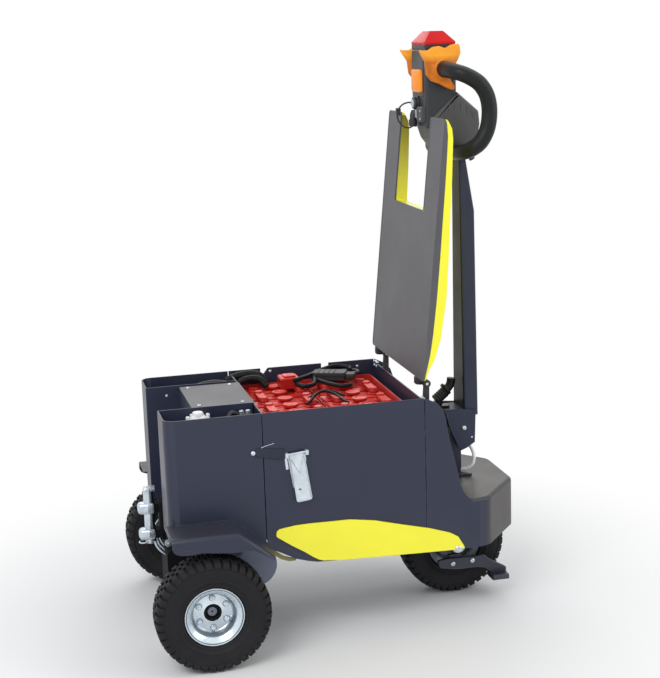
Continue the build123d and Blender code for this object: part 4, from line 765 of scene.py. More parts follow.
def tyre(name, at, body, node):
    """Block tyre round a wheel's middle."""
    bm = bmesh.new()
    outline = TYRE_SIDE + [(r, -y) for r, y in reversed(TYRE_SIDE[:-1])]
    turn(bm, outline, at, steps=160, closed=True)
    pitch = 2 * pi / LUGS
    for i in range(LUGS):
        for side, shift in ((1, 0.0), (-1, 0.5)):
            angle = (i + shift) * pitch
            lug(bm, at, SHOULDER_OUT, SHOULDER_IN, side, angle, SHOULDER_HALF, SHOULDER_LEAN * side)
            lug(bm, at, CENTRE_OUT, CENTRE_IN, side, angle + pitch / 2, CENTRE_HALF, CENTRE_LEAN * side)
    made = piece(name, bm, body, [TYRE_RUBBER], [node], smooth=32)
    print(name, "faces", len(made.data.polygons))


FRONT_AXLE = (-325.0, 288.0, 130.0)
REAR_AXLE = (321.0, 0.0, 130.0)
WHEELS = {"left": (FRONT_AXLE[0], -FRONT_AXLE[1], FRONT_AXLE[2]), "right": FRONT_AXLE}
for side, at in WHEELS.items():
    tyre(f"block_tyre_{side}", at, f"wheel_{side}", f"tyre_{side}")
tyre("block_tyre_castor", REAR_AXLE, "castor_wheel", "castor_tyre")

# %% [markdown]
# ## Rims and hubs
# A rim is pressed from zinc-plated sheet: a rolled flange, a step, and a deep dish with the disc at its
# bottom. Six nuts hold the two halves. The rim's whole section is one closed outline, turned once. Two thin
# darker rings on it are painted shade in the groove inside the bead and on the steep wall above the disc,
# and a dark ring round each nut's washer is painted shade too.

# %% Rims
DISC, NUTS, NUT_CIRCLE = 4.0, 6, 35
BEAD_GROOVE = [(62.4, 32.2), (64.2, 33.7), (63.2, 33.7), (61.6, 31.9)]
STEEP_WALL = [(49.3, 21.2), (48.5, 16), (47.3, DISC + 7), (46.0, DISC + 3), (45.4, DISC + 3.6),
              (46.6, DISC + 7.6), (47.9, 16), (48.6, 20.4)]
RIM_SECTION = [(64.2, 29.4), (66.2, 30.2), (67.0, 31.6), (67.0, 33.0), (66.2, 34.0), (64.8, 34.0),
               (63.6, 33.3), (62.6, 32.0), (60.6, 31.0), (56.0, 27.8), (52.2, 25.0), (50.4, 23.2),
               (49.2, 20.6), (48.4, 16.0), (47.2, DISC + 7), (45.8, DISC + 2.6), (42.8, DISC), (24.0, DISC),
               (22.6, DISC + 0.7),
               (20.1, DISC + 0.7), (20.1, DISC - 3.6), (43.5, DISC - 4), (46.6, DISC - 7), (47.0, -20.0),
               (48.6, -22.8), (56.0, -28.0), (62.6, -32.2), (64.8, -34.0), (66.6, -33.6), (67.0, -31.6),
               (66.2, -30.2), (64.0, -29.4), (56.0, -24.6), (51.4, -21.4), (51.0, -20.0), (51.0, 19.6),
               (52.6, 21.8), (56.0, 24.6), (60.0, 27.4)]


def rim(name, at, side, body, node, bore=None, metal=RIM_ZINC):
    """Zinc rim with its nuts; side tells which way the dish opens, and a bore gives it a long bush."""
    bm = bmesh.new()
    turn(bm, [(r, side * y) for r, y in RIM_SECTION], at, steps=96, closed=True)
    face = at[1] + side * DISC
    for k in range(NUTS):
        a = pi / 2 + 2 * pi * k / NUTS
        spot = (at[0] + NUT_CIRCLE * cos(a), face, at[2] + NUT_CIRCLE * sin(a))
        hex_bolt(bm, spot, (0, side, 0), 10, 4.5, washer=6.2, stud=2, phase=k * 0.37)
        # Painted shade: a dark ring round each washer, where the nut meets the disc.
        shade_ring = [(6.2, -0.4), (7.6, -0.4), (7.6, 0.25), (6.2, 0.35)]
        turn(bm, shade_ring, spot, (0, side, 0), 24, closed=True, skin=1)
    # Painted shade: two thin dark rings, in the groove inside the bead and on the steep wall.
    for ring in (BEAD_GROOVE, STEEP_WALL):
        turn(bm, [(r, side * y) for r, y in ring], at, steps=96, closed=True, skin=1)
    if bore:
        bush = [(bore, -51), (21, -51), (22, -50), (22, 50), (21, 51), (bore, 51)]
        turn(bm, bush, at, steps=32, closed=True)
    return piece(name, bm, body, [metal, DULL_ZINC_AND_SHADE], [node])


print("the rim's section has", len(RIM_SECTION), "points")

# %% [markdown]
# A driven wheel turns on a hub. Its shaft and plate stay behind the disc, a dark ring comes through the
# disc's hole, and a bright shaft end sits back in the ring. Two turned outlines draw it, one for each
# finish. The castor's wheel isn't driven, so it has no hub, only a rim with a bush, painted in a darker
# zinc as painted shade behind the fork.

# %% Hubs, and all the rims
HUB_SECTION = [(0, -94), (15, -94), (15, DISC - 14), (44, DISC - 14), (44, DISC - 4), (19.8, DISC - 4),
               (19.8, DISC + 0.5), (18.8, DISC + 1.5), (14.6, DISC + 1.5), (13.4, DISC + 0.1),
               (13.0, DISC - 9), (0, DISC - 9)]
SHAFT_END = [(11, DISC - 9), (11, DISC - 6.6), (10.2, DISC - 6), (7.6, DISC - 6), (7.2, DISC - 6.6),
             (5.4, DISC - 6.6), (5.0, DISC - 6), (2.4, DISC - 6), (2.4, DISC - 9), (0, DISC - 9)]


def hub(name, at, side, body, node):
    """Driven hub with a dark ring and a bright end."""
    bm = bmesh.new()
    turn(bm, [(radius, side * y) for radius, y in HUB_SECTION], at, steps=48)
    turn(bm, [(radius, side * y) for radius, y in SHAFT_END], at, steps=32, skin=1)
    return piece(name, bm, body, [AXLE_BLACK, DULL_ZINC_AND_SHADE], [node])


for side_name, at in WHEELS.items():
    side = 1 if at[1] > 0 else -1
    rim(f"zinc_rim_{side_name}", at, side, f"wheel_{side_name}", f"rim_{side_name}")
    made = hub(f"wheel_hub_{side_name}", at, side, f"wheel_{side_name}", f"hub_{side_name}")
    print(made.name, [round(v, 3) for v in made.dimensions])
# Painted shade: the castor's rim gets the darker zinc, as it lies behind the fork.
castor = rim("zinc_rim_castor", REAR_AXLE, -1, "castor_wheel", "castor_rim", bore=10.2, metal=DULL_ZINC_AND_SHADE)
print("castor rim", [round(v, 3) for v in castor.dimensions])

# %% [markdown]
# ## Outlines with soft corners
# Moulded parts have no sharp corners. The first tool rounds the corners of a flat outline, each by its own
# radius, which a Bevel modifier could not do as simply.

# %% Rounded corners
def rounded(outline, radius, steps=5):
    """Outline with its corners rounded; radius is one number, or one for each corner."""
    radii = radius if isinstance(radius, (list, tuple)) else [radius] * len(outline)
    points = []
    for i, corner in enumerate(outline):
        here = Vector(corner)
        back, ahead = Vector(outline[i - 1]) - here, Vector(outline[(i + 1) % len(outline)]) - here
        if radii[i] <= 0:
            points.append(here)
            continue
        reach = min(radii[i] / tan(back.angle(ahead) / 2), back.length * 0.49, ahead.length * 0.49)
        start, end = here + back.normalized() * reach, here + ahead.normalized() * reach
        for k in range(steps + 1):
            t = k / steps
            points.append((1 - t) ** 2 * start + 2 * t * (1 - t) * here + t * t * end)
    return points


def box_outline(a, b):
    """A rectangle between two places on each of two axes."""
    return [(a[0], b[0]), (a[1], b[0]), (a[1], b[1]), (a[0], b[1])]


print("a rounded square has", len(rounded(box_outline((0, 10), (0, 10)), 2)), "points")

# %% [markdown]
# The second tool draws an outline in by an amount. Stacking the same outline at several places, drawn in a
# little at the first and the last, gives a slab with rolled edges.

# %% Slabs
def drawn_in(outline, amount):
    """The outline moved inwards by an amount all round."""
    points = [Vector(p) for p in outline]
    area = sum(a.x * b.y - b.x * a.y for a, b in zip(points, points[1:] + points[:1]))
    sign = 1 if area > 0 else -1
    moved = []
    for i, here in enumerate(points):
        back, ahead = (here - points[i - 1]).normalized(), (points[(i + 1) % len(points)] - here).normalized()
        normal = Vector((-back.y - ahead.y, back.x + ahead.x)) * sign
        normal.normalize()
        spread = max(0.5, normal.dot(Vector((-back.y, back.x)) * sign))
        moved.append(here + normal * amount / spread)
    return moved


PLANES = {"xz": lambda p, place: (p[0], place, p[1]), "xy": lambda p, place: (p[0], p[1], place),
          "yz": lambda p, place: (place, p[0], p[1])}


def slab(bm, outline, layers, plane="xz", skin=0):
    """Stacks an outline in a plane; a layer is (place, how far it is drawn in)."""
    rings = [[bm.verts.new(PLANES[plane](p, place)) for p in drawn_in(outline, amount)]
             for place, amount in layers]
    join_rings(bm, rings, skin, ends=True)


trial = bmesh.new()
slab(trial, box_outline((0, 10), (0, 10)), [(0, 1), (1, 0), (4, 0), (5, 1)])
print("a square slab with four layers has", len(trial.faces), "faces")
trial.free()

# %% [markdown]
# ## Tiller head
# The head is a moulded control block with a groove below the top and a thin raised panel on its front. A
# soft red cap with sloping sides sits on it, and an orange push button stands out of the panel. Slabs draw
# them all, because a slab takes a different softness at each height.

# %% Head, cap and push button
HEAD_X, HEAD_HALF, HEAD_Z = (262.0, 337.0), 56.0, (1150.0, 1340.0)
head_plan = rounded(box_outline(HEAD_X, (-HEAD_HALF, HEAD_HALF)), 9)
bm = bmesh.new()
slab(bm, head_plan, [(HEAD_Z[0], 3), (HEAD_Z[0] + 3, 0), (1326, 0), (1327.5, 1.4), (1330, 1.4), (1331.5, 0),
                     (1339, 0), (HEAD_Z[1], 1)], "xy")
slab(bm, rounded(box_outline((-40, 40), (1222, 1318)), 8), [(HEAD_X[0], 0), (HEAD_X[0] - 1.2, 0.4)], "yz")
head = piece("control_head", bm, "tiller", [HEAD_GREY], ["tiller_head"])
print("head", [round(v, 3) for v in head.dimensions])

bm = bmesh.new()
slab(bm, head_plan, [(1340, 0.5), (1342, -0.5), (1345, -0.5), (1346.5, 0.8)], "xy")
low = rounded(box_outline((263, 336), (-55, 55)), 7)
high = rounded(box_outline((281, 317), (-32, 32)), 7)
cap_rings = ((low, 1346.4), (high, 1368.6), (drawn_in(high, 2.5), 1370))
join_rings(bm, [[bm.verts.new((*p, height)) for p in plan] for plan, height in cap_rings], ends=True)
piece("soft_cap", bm, "tiller", [CAP_RED], ["head_cap"], smooth=28)

bm = bmesh.new()
collar_layers = [(262.5, 0), (257, 0), (255, 1.2), (254, 3.2)]
slab(bm, rounded(box_outline((-34, 34), (1231, 1284)), 9), collar_layers, "yz")
slab(bm, rounded(box_outline((-25, 25), (1240, 1275)), 7), [(255, 0), (253.2, 0.2), (252.6, 1.2)], "yz")
piece("push_button", bm, "tiller", [ORANGE_PLASTIC], ["head_button"])

# %% [markdown]
# Both hand loops run into a lower housing with a bulging side. Five ribs fan out over each cheek, and a
# round stud hangs below its rear. The ribs are short bars that stand half out of the surface, which looks
# the same as ribs cut from it and is much simpler.

# %% Lower housing with its ribs
BOWL_SIDE = [(267, 1166), (291, 1189), (337, 1232), (389, 1186), (392, 1156), (385, 1120), (371, 1092),
             (357, 1072), (334, 1072), (306, 1091), (282, 1122)]
bowl_outline = rounded(BOWL_SIDE, [10, 6, 4, 10, 30, 30, 20, 12, 12, 30, 30], 4)
bm = bmesh.new()
slab(bm, bowl_outline, [(-62, 9), (-60.5, 4), (-57, 1), (-50, 0), (50, 0), (57, 1), (60.5, 4), (62, 9)])
for side in (-1, 1):
    for x0, z0, x1, z1 in ((318, 1206, 314, 1176), (331, 1215, 329, 1182), (345, 1214, 345, 1182),
                           (358, 1204, 360, 1176), (371, 1193, 374, 1168)):
        middle = ((x0 + x1) / 2, side * 61.6, (z0 + z1) / 2)
        bar(bm, [(x0, side * 60.4, z0), middle, (x1, side * 60.8, z1)], 1.7, 8)
stud = [(0, -2), (9, -2), (9, 8), (7, 10), (7, 16), (4.5, 17), (0, 17)]
turn(bm, stud, (372, -34, 1086), (0.5, 0, -0.86), 20)
housing = piece("ribbed_housing", bm, "tiller", [GREY_PLASTIC], ["tiller_bowl"], smooth=40)
print("housing", [round(v, 3) for v in housing.dimensions])

# %% [markdown]
# A hand loop is one thick rubber-covered tube. It leaves the side of the head, turns back and down in one
# wide curve and runs into the lower housing, where it grows thicker. A smooth line through a few points
# gives the wide curve.

# %% Hand loops
SIDES = (("left", -1), ("right", 1))
LOOP = [(300, 57, 1284), (300, 80, 1284), (301, 108, 1283), (307, 132, 1280), (322, 148, 1274),
        (343, 152, 1263), (361, 152, 1249), (376, 152, 1224), (382, 151, 1190), (377, 151, 1152),
        (362, 149, 1122), (344, 140, 1106), (333, 122, 1099), (328, 100, 1097), (327, 76, 1097),
        (327, 54, 1098)]
LOOP_RADIUS, SLEEVE_STEPS, SLEEVE_MORE, FLARE_STEPS, FLARE_MORE = 18.0, 9, 0.9, 22, 3.0
for name, side in SIDES:
    bm = bmesh.new()
    route = flowing([(x, side * y, z) for x, y, z in LOOP], 6)
    thick = [LOOP_RADIUS + (SLEEVE_MORE if i < SLEEVE_STEPS else 0.0)
             + FLARE_MORE * max(0, (i - len(route) + FLARE_STEPS) / FLARE_STEPS) for i in range(len(route))]
    bar(bm, route, thick, 24)
    loop = piece(f"hand_loop_{name}", bm, "tiller", [GRIP_RUBBER], [f"handle_{name}"],
                 smooth=60)
print("hand loop", [round(v, 3) for v in loop.dimensions])

# %% [markdown]
# A butterfly knob turns on the side of the head and sets the speed, so the thumb can push either wing. It
# is a skin over one wavy outline: each ring is the outline, drawn some way out from the round collar, and
# the wings lean away from the head the further out they reach.

# %% Butterfly knobs
WING = [(240, 1329), (250, 1327), (262, 1327), (274, 1334), (290, 1336), (305, 1331), (318, 1338),
        (337, 1340), (341, 1320), (336, 1306), (328, 1292), (325, 1278), (321, 1268), (315, 1261),
        (320, 1252), (327, 1243), (322, 1235), (306, 1242), (290, 1251), (271, 1258), (259, 1273),
        (256, 1302), (247, 1316)]
ROOT, COLLAR = Vector((300, 1284)), 24
wing = rounded(WING, 5, 3)
# share of the way from the collar to the wing's edge, and distance out from the middle of the head
KNOB_SKIN = [(0.0, 58), (0.5, 59), (0.9, 60.5), (1.0, 63), (1.02, 66), (1.0, 69), (0.94, 71.5), (0.8, 72),
             (0.5, 73), (0.2, 76), (0.0, 80)]
for name, side in SIDES:
    bm = bmesh.new()
    rings = []
    for share, out in KNOB_SKIN:
        ring = []
        for p in wing:
            away = p - ROOT
            collar = away.normalized() * COLLAR
            spot = ROOT + collar + (away - collar) * share
            far = max(0.0, (spot - ROOT).length - COLLAR - 2)
            lean = 0.16 * far + 0.0016 * far * far
            ring.append(bm.verts.new((spot.x, side * (out + lean), spot.y)))
        rings.append(ring)
    join_rings(bm, rings)
    turn(bm, [(COLLAR, side * 79.5), (22.5, side * 82), (19, side * 82)], (ROOT.x, 0, ROOT.y), steps=32)
    knob = piece(f"butterfly_knob_{name}", bm, "tiller", [KNOB_ORANGE],
                 [f"speed_knob_{name}"], smooth=60)
print("knob spans", [round(v, 3) for v in knob.dimensions])

# %% [markdown]
# On the front of the head sit a round key switch with its key, a small grey plate with two screws, and the
# plug of the safety lanyard. The lanyard hangs out in an open curl with a clip on it. What is fixed to the
# head is one piece of several skins, and the lanyard is a piece of its own.

# %% Key switch, plug and lanyard
bm = bmesh.new()
SWITCH_AT = (262, 8, 1206)
barrel = [(0, 0), (17, 0), (17, 3), (15, 4.5), (15, 10), (13.4, 12), (0, 12)]
turn(bm, barrel, SWITCH_AT, TO_FRONT, 32)
turn(bm, [(9, 12), (9, 13.4), (7.4, 14), (0, 14)], SWITCH_AT, TO_FRONT, 24, skin=1)
brick(bm, (245, 249.5), (6.6, 9.4), (1200, 1213), 1)
slab(bm, rounded(box_outline((-50, -12), (1164, 1199)), 4), [(262.5, 0), (254, 0), (252, 1.6)], "yz", 2)
for z in (1190, 1172):
    turn(bm, [(2.5, -1), (2.5, 1.4), (0, 1.4)], (252, -42, z), TO_FRONT, 12, skin=1)
slab(bm, rounded(box_outline((-8, 26), (1172, 1192)), 3), [(262.5, 0), (253, 0), (251.5, 1.4)], "yz", 1)
bar(bm, [(253, 10, 1190), (251, 10, 1180), (250, 10, 1166)], [6, 8, 8], 16)
bar(bm, [(250, 10, 1168), (249.6, 10, 1158), (249, 10, 1152)], [10, 10, 8.5], 16)
piece("key_switch_and_plug", bm, "tiller", [BLACK_PLASTIC, ZINC, GREY_PLASTIC],
      ["key_switch"])

LANYARD = [(250, 10, 1206), (240, 12, 1208), (226, 16, 1203), (216, 18, 1190), (214, 18, 1176),
           (219, 17, 1162), (229, 14, 1152), (240, 12, 1149), (249, 10, 1153)]
bm = bmesh.new()
bar(bm, flowing(LANYARD, 6), 1.9, 10)
slab(bm, rounded(box_outline((211, 222), (1178, 1196)), 3), [(12, 1), (14, 0), (21, 0), (23, 1)])
lanyard = piece("key_lanyard", bm, "tiller", [BLACK_PLASTIC])
print("lanyard", [round(v, 3) for v in lanyard.dimensions])

# %% [markdown]
# ## Tilt lock and column fittings
# The grip that frees the tiller is a ribbed rubber sleeve with a dark disc and a knob behind it. On each
# cheek of the column sit the pivot bolt's bright head and a smaller screw below it. The sleeve's ribs are
# one short outline that a loop repeats, turned round a slanting axis.

# %% Tilt lock and column fittings
bm = bmesh.new()
brick(bm, (303, 322), (-11, 11), (467.5, 474))
LOCK_ALONG = (0.8, 0.1, 0.6)
RIB_PITCH, RIBS = 6.4, 5
rib = ((13.4, 1), (13.8, 3), (13.4, 5), (12.4, 6.2))
sleeve = [(0, 0), (12, 0)]
for k in range(RIBS):
    sleeve += [(radius, height + RIB_PITCH * k) for radius, height in rib]
turn(bm, sleeve + [(12, 34), (0, 34)], (289, -3, 488), LOCK_ALONG, 28)
turn(bm, [(0, 0), (8, 0), (11, 4), (12, 9), (12, 12), (0, 14)], (299, -2, 474), (-0.4, 0, 0.9), 24)
turn(bm, [(0, 0), (15, 0), (16, 1.5), (16, 5.5), (15, 7), (0, 7)], (313, -1, 511), LOCK_ALONG, 32)
bar(bm, flowing([(316, -1, 512), (324, 0, 518), (329, 0, 527), (331, 0, 540)], 5), 10.5, 20)
piece("tilt_lock_grip", bm, "tiller", [GRIP_RUBBER], ["tilt_lock"])

bm = bmesh.new()
for side in (-1, 1):
    pan_screw(bm, (346, side * 47, 424), (0, side, 0), 6.2, 5)
    pan_screw(bm, (366, side * 47, 399), (0, side, 0), 2.4, 1.4)
turn(bm, [(0, -46.5), (6, -46.5), (6, 46.5), (0, 46.5)], (346, 0, 424), (0, 1, 0), 24)
piece("pivot_bolt_heads", bm, "tiller", [ZINC], ["pivot_bolt"])
print("tiller pieces done")

# %% [markdown]
# ## Battery
# Twelve red cells stand in the tray, each with a flat vent cap between its two covered terminals. Covered
# bars join each cell to the next on alternate sides, so that they are joined one after another. The cells
# are alike, so two loops place them, and only their sizes and pitches need numbers.

# %% Battery cells, caps and bars
CELL_PITCH, ROW_PITCH, FIRST_CELL = 64.3, 168.0, (-78.0, -160.8)
POST_X = 52.0
VENT_CAP = [(12, 508), (12, 513), (17.5, 514), (19, 515.5), (19, 519), (17.5, 520.6), (13, 521),
            (11.5, 519.8), (0, 519.8)]
POST = [(15, 508), (15, 511), (12, 514), (12, 517), (0, 517)]
POST_COVER = [(10.5, 521), (10.5, 524), (8.5, 526), (0, 526)]
bm = bmesh.new()
caps = bmesh.new()
for row in range(2):
    for k in range(6):
        x, y = FIRST_CELL[0] + row * ROW_PITCH, FIRST_CELL[1] + k * CELL_PITCH
        plan = rounded(box_outline((x - 83, x + 83), (y - 31.2, y + 31.2)), 4, 3)
        slab(bm, plan, [(289, 0), (503, 0), (505.5, 1.5), (505.5, 4), (508.5, 5), (509.5, 7)], "xy")
        turn(caps, VENT_CAP, (x, y, 0), UP, 28)
        for side in (-1, 1):
            turn(caps, POST, (x + side * POST_X, y, 0), UP, 20)
        if k < 5:
            bar_x = x + (POST_X if (k + row) % 2 == 0 else -POST_X)
            strip = rounded(box_outline((bar_x - 11.5, bar_x + 11.5), (y - 12, y + CELL_PITCH + 12)), 10, 4)
            slab(caps, strip, [(514, 1), (515, 0), (520, 0), (522.5, 2)], "xy")
            for end in (y, y + CELL_PITCH):
                turn(caps, POST_COVER, (bar_x, end, 0), UP, 20)
cells = piece("cell_boxes", bm, "chassis", [RED_PLASTIC], ["battery_cells"])
piece("vent_caps_and_bars", caps, "chassis", [RED_PLASTIC], ["battery_links"], smooth=40)
print("cells", [round(v, 3) for v in cells.dimensions])

# %% [markdown]
# The battery's plug lies across the far cells, turned a little. It is a thick black body with a groove
# round its middle, a narrower nose, four grip ribs and a wire handle. It is drawn square and turned as a
# whole, which is easier than drawing it aslant.

# %% Battery plug
PLUG_TURN = Matrix.Rotation(radians(-24), 3, "Z")


def turned(points, about, high):
    """Flat points turned with the plug, at a height."""
    return [tuple(Vector(about) + PLUG_TURN @ Vector((x, y, 0)) + Vector((0, 0, high))) for x, y in points]


bm = bmesh.new()
plug_at = (62, 150, 0)
plan = [Vector(p[:2]) for p in turned(rounded(box_outline((-42, 42), (-22, 22)), 7), plug_at, 0)]
slab(bm, plan, [(526, 2), (528, 0), (536, 0), (537, 1.6), (538, 0), (545, 0), (547, 2)], "xy")
plan = [Vector(p[:2]) for p in turned(rounded([(42, -17), (64, -12), (64, 12), (42, 17)], 4), plug_at, 0)]
slab(bm, plan, [(529, 1), (531, 0), (541, 0), (543, 1)], "xy")
for x in (-26, -13, 0, 13):
    bar(bm, turned([(x, -16), (x, 16)], plug_at, 547), 1.6, 8)
grip = turned([(-22, -14), (10, -18), (24, 0), (10, 18), (-22, 14)], (118, 176, 0), 535)
bar(bm, flowing(grip, 5), 4.2, 12)
plug = piece("battery_plug_body", bm, "chassis", [BLACK_PLASTIC], ["battery_plug"])
print("plug", [round(v, 3) for v in plug.dimensions])

# %% [markdown]
# Thick leads run from a red connector to the plug and back over the cells, and thinner ones cross the
# middle. One flat hump of thick hose stands over the far wall. Each lead is a bar along a smooth line.

# %% Battery leads
LEADS = [
    [(-34, 122, 534), (-26, 92, 531), (-14, 84, 530), (8, 100, 529), (18, 126, 533), (22, 146, 536),
     (34, 160, 537)],
    [(-40, 132, 540), (-34, 112, 541), (-10, 128, 542), (18, 158, 541), (52, 190, 543), (92, 208, 545),
     (124, 196, 541), (120, 182, 538)],
    [(24, 138, 532), (40, 96, 531), (62, 62, 530), (84, 58, 529), (98, 78, 527), (100, 104, 520),
     (96, 112, 515)],
    [(-192, 196, 532), (-176, 196, 540), (-150, 197, 545), (-124, 196, 545), (-106, 190, 539),
     (-96, 178, 522)],
    [(-176, 170, 522), (-156, 172, 536), (-132, 172, 540), (-112, 168, 536), (-98, 158, 520)],
]
bm = bmesh.new()
for route, thick in zip(LEADS, (6.0, 5.5, 5.5, 9.6, 8.5)):
    bar(bm, flowing(route, 6), thick, 14)
thin = [(-44, -58, 522), (-34, -48, 526), (-12, -10, 531), (14, 12, 532), (34, -6, 529), (44, -52, 524),
        (52, -74, 521)]
bar(bm, flowing(thin, 6), 3.4, 12)
bar(bm, flowing([(-30, 2, 520), (-8, 10, 526), (16, 26, 530), (40, 20, 527), (60, -6, 521)], 6), 3.0, 12)
leads = piece("battery_leads", bm, "chassis", [CABLE_BLACK])
print("leads", [round(v, 3) for v in leads.dimensions])
bm = bmesh.new()
slab(bm, rounded(box_outline((-70, -22), (112, 164)), 5), [(520, 0), (543, 0), (546, 2.5)], "xy")
slab(bm, rounded(box_outline((-60, -30), (122, 154)), 4), [(545, 0), (549, 0), (550, 1.5)], "xy")
piece("battery_connector", bm, "chassis", [RED_PLASTIC])

# %% [markdown]
# ## Small sheet-metal parts
# The latch is a pressed zinc lever with rolled sides, hung on a pin between two ears over a back plate. The
# lever hangs a little askew, so its points are turned before they are placed on the wall.

# %% Latches
WALL, LATCH_AT, LATCH_TILT = 219, Vector((-108, 0, 450)), Matrix.Rotation(radians(-7.5), 3, "Y")
lever = rounded([(-17, 8), (17, 8), (18.5, -108), (-18.5, -108)], [3, 3, 7, 7], 5)


def on_wall(outline, side, out):
    """Points of the lever at a distance out from the wall."""
    spots = [LATCH_TILT @ Vector((x, 0, z)) + LATCH_AT for x, z in outline]
    return [(p.x, side * (WALL + out), p.z) for p in spots]


for name, side in SIDES:
    bm = bmesh.new()
    y0 = side * WALL
    rolled = ((6.0, 0), (9.0, 0), (9.0, 1.4), (6.8, 2.2), (6.2, 3.6))
    join_rings(bm, [[bm.verts.new(p) for p in on_wall(drawn_in(lever, amount), side, out)]
                    for out, amount in rolled], ends=True)
    bar(bm, on_wall([(-14, -4), (0, -42), (14, -4)], side, 6.4), 1.8, 8)
    slab(bm, rounded([(-130, 454), (-88, 452), (-86, 440), (-92, 372), (-118, 374), (-128, 440)], 4),
         [(y0, 0), (y0 + side * 3, 0), (y0 + side * 3.6, 0.6)])
    bar(bm, [(-131, y0 + side * 7.5, 454), (-84, y0 + side * 7.5, 458)], 2.6, 12)
    for x, z in ((-131, 453), (-85, 457)):
        slab(bm, rounded(box_outline((x - 4, x + 4), (z - 7, z + 5)), 2.5),
             [(y0, 0), (y0 + side * 10, 0), (y0 + side * 11, 0.8)])
    slab(bm, rounded([(-136, 446), (-130, 446), (-127, 420), (-134, 418)], 2),
         [(y0, 0), (y0 + side * 5, 0.4)])
    turn(bm, [(2.0, 8), (2.0, 9.4), (0, 9.4)], (-103, y0, 371), (0, side, 0), 12, skin=1)
    latch = piece(f"toggle_latch_{name}", bm, "chassis", [ZINC, DARK_STEEL],
                  ["latches"] if side < 0 else ())
print("latch", [round(v, 3) for v in latch.dimensions])

# %% [markdown]
# Beside each latch lies a soft black strap. A thin bright wire above it stands for a glint, as a painted
# highlight. Small bright screws hold the straps, the yellow plates, the control cover and the sheets of the
# bay. They have one finish and one body, so they make one piece.

# %% Straps and bright screws
bm = bmesh.new()
screws = bmesh.new()
for side in (-1, 1):
    y0 = side * WALL
    slab(bm, rounded([(-202, 455), (-136, 440), (-132, 467), (-200, 474)], 5),
         [(y0, 0), (y0 + side * 2.2, 0), (y0 + side * 3, 0.8)])
    pan_screw(screws, (-206, y0, 463), (0, side, 0), 5.5, 3.4)
    pan_screw(screws, (270, y0 + side * 4, 184.5), (0, side, 0), 7.5, 2.8)
    # Painted highlight: a thin bright bar above the strap stands for the glint there.
    glint_wire = [(-188, y0 + side * 1.0, 474), (-176, y0 + side * 1.4, 478), (-158, y0 + side * 1.2, 482)]
    bar(screws, glint_wire, 0.9, 8)
for x, y in ((-303, 88), (-202, 88), (-303, -88), (-202, -88)):
    pan_screw(screws, (x, y, 550), (0, 0, 1), 4.5, 3)
piece("latch_straps_soft", bm, "chassis", [STRAP_BLACK], ["latch_straps"])
for x, y, z, out in ((-352, 112, 530, -1), (-352, -112, 530, 1), (-150, 216, 538, -1), (150, 216, 538, -1)):
    pan_screw(screws, (x, y, z), (0, out, 0), 3.6, 2.4)
pan_screw(screws, (-76, 216, 544), (0, -1, 0), 4.2, 2.6)
screw_heads = piece("bright_screws", screws, "chassis", [ZINC])
print("screws and wires", [round(v, 3) for v in screw_heads.dimensions])

# %% [markdown]
# In the near corner of the front bay stands a white charging socket. It is a low block with a round
# mouth, three short posts and a bar that joins them.

# %% Charging socket
bm = bmesh.new()
slab(bm, rounded(box_outline((-332, -296), (-150, -122)), 5), [(506, 0), (536, 0), (540, 3)], "xy")
turn(bm, [(13, 0), (13, 9), (11, 12), (0, 12)], (-314, -136, 536), (0, 0, 1), 24)
for x, y in ((-338, -143), (-290, -128), (-326, -122)):
    turn(bm, [(4.5, -4), (4.5, 5), (3, 7), (0, 7)], (x, y, 534), (0, 0, 1), 12)
bar(bm, [(-338, -143, 530), (-314, -136, 533), (-290, -128, 530)], 4.5, 12)
charger = piece("charging_socket", bm, "chassis", [WHITE_PLASTIC], ["charge_socket"])
print("socket", [round(v, 3) for v in charger.dimensions])

# %% [markdown]
# Beside it stands a dark relay with two bright terminals. Two cables reach it from below, and a third
# crosses the far side of the bay.

# %% Relay and cables
bm = bmesh.new()
slab(bm, rounded(box_outline((-222, -190), (-150, -119)), 4), [(490, 0), (533, 0), (536, 2)], "xy")
for x in (-214, -199):
    turn(bm, [(6, 535), (6, 541), (4, 543), (0, 543)], (x, -136, 0), (0, 0, 1), 18, skin=1)
BAY_CABLES = [
    ([(-250, -150, 500), (-246, -140, 528), (-236, -132, 538), (-222, -130, 532), (-214, -134, 520)], 5),
    ([(-262, -170, 500), (-256, -160, 524), (-240, -156, 532), (-222, -160, 520)], 5),
    ([(-300, 150, 520), (-270, 158, 536), (-230, 162, 541), (-196, 168, 534), (-184, 172, 524)], 6),
]
for route, thick in BAY_CABLES:
    bar(bm, flowing(route, 6), thick, 12)
piece("relay_and_cables", bm, "chassis", [BLACK_PLASTIC, ZINC], ["relay"])
print("bay fittings done")

# %% [markdown]
# ## Coupling
# The tug pulls its load by two cast jaws with a pin. Slabs that draw in at the top and the bottom give the
# jaws the thick round noses of a casting. Bent rods below brace the lower jaw, and nuts hold the back plate
# to the machine.

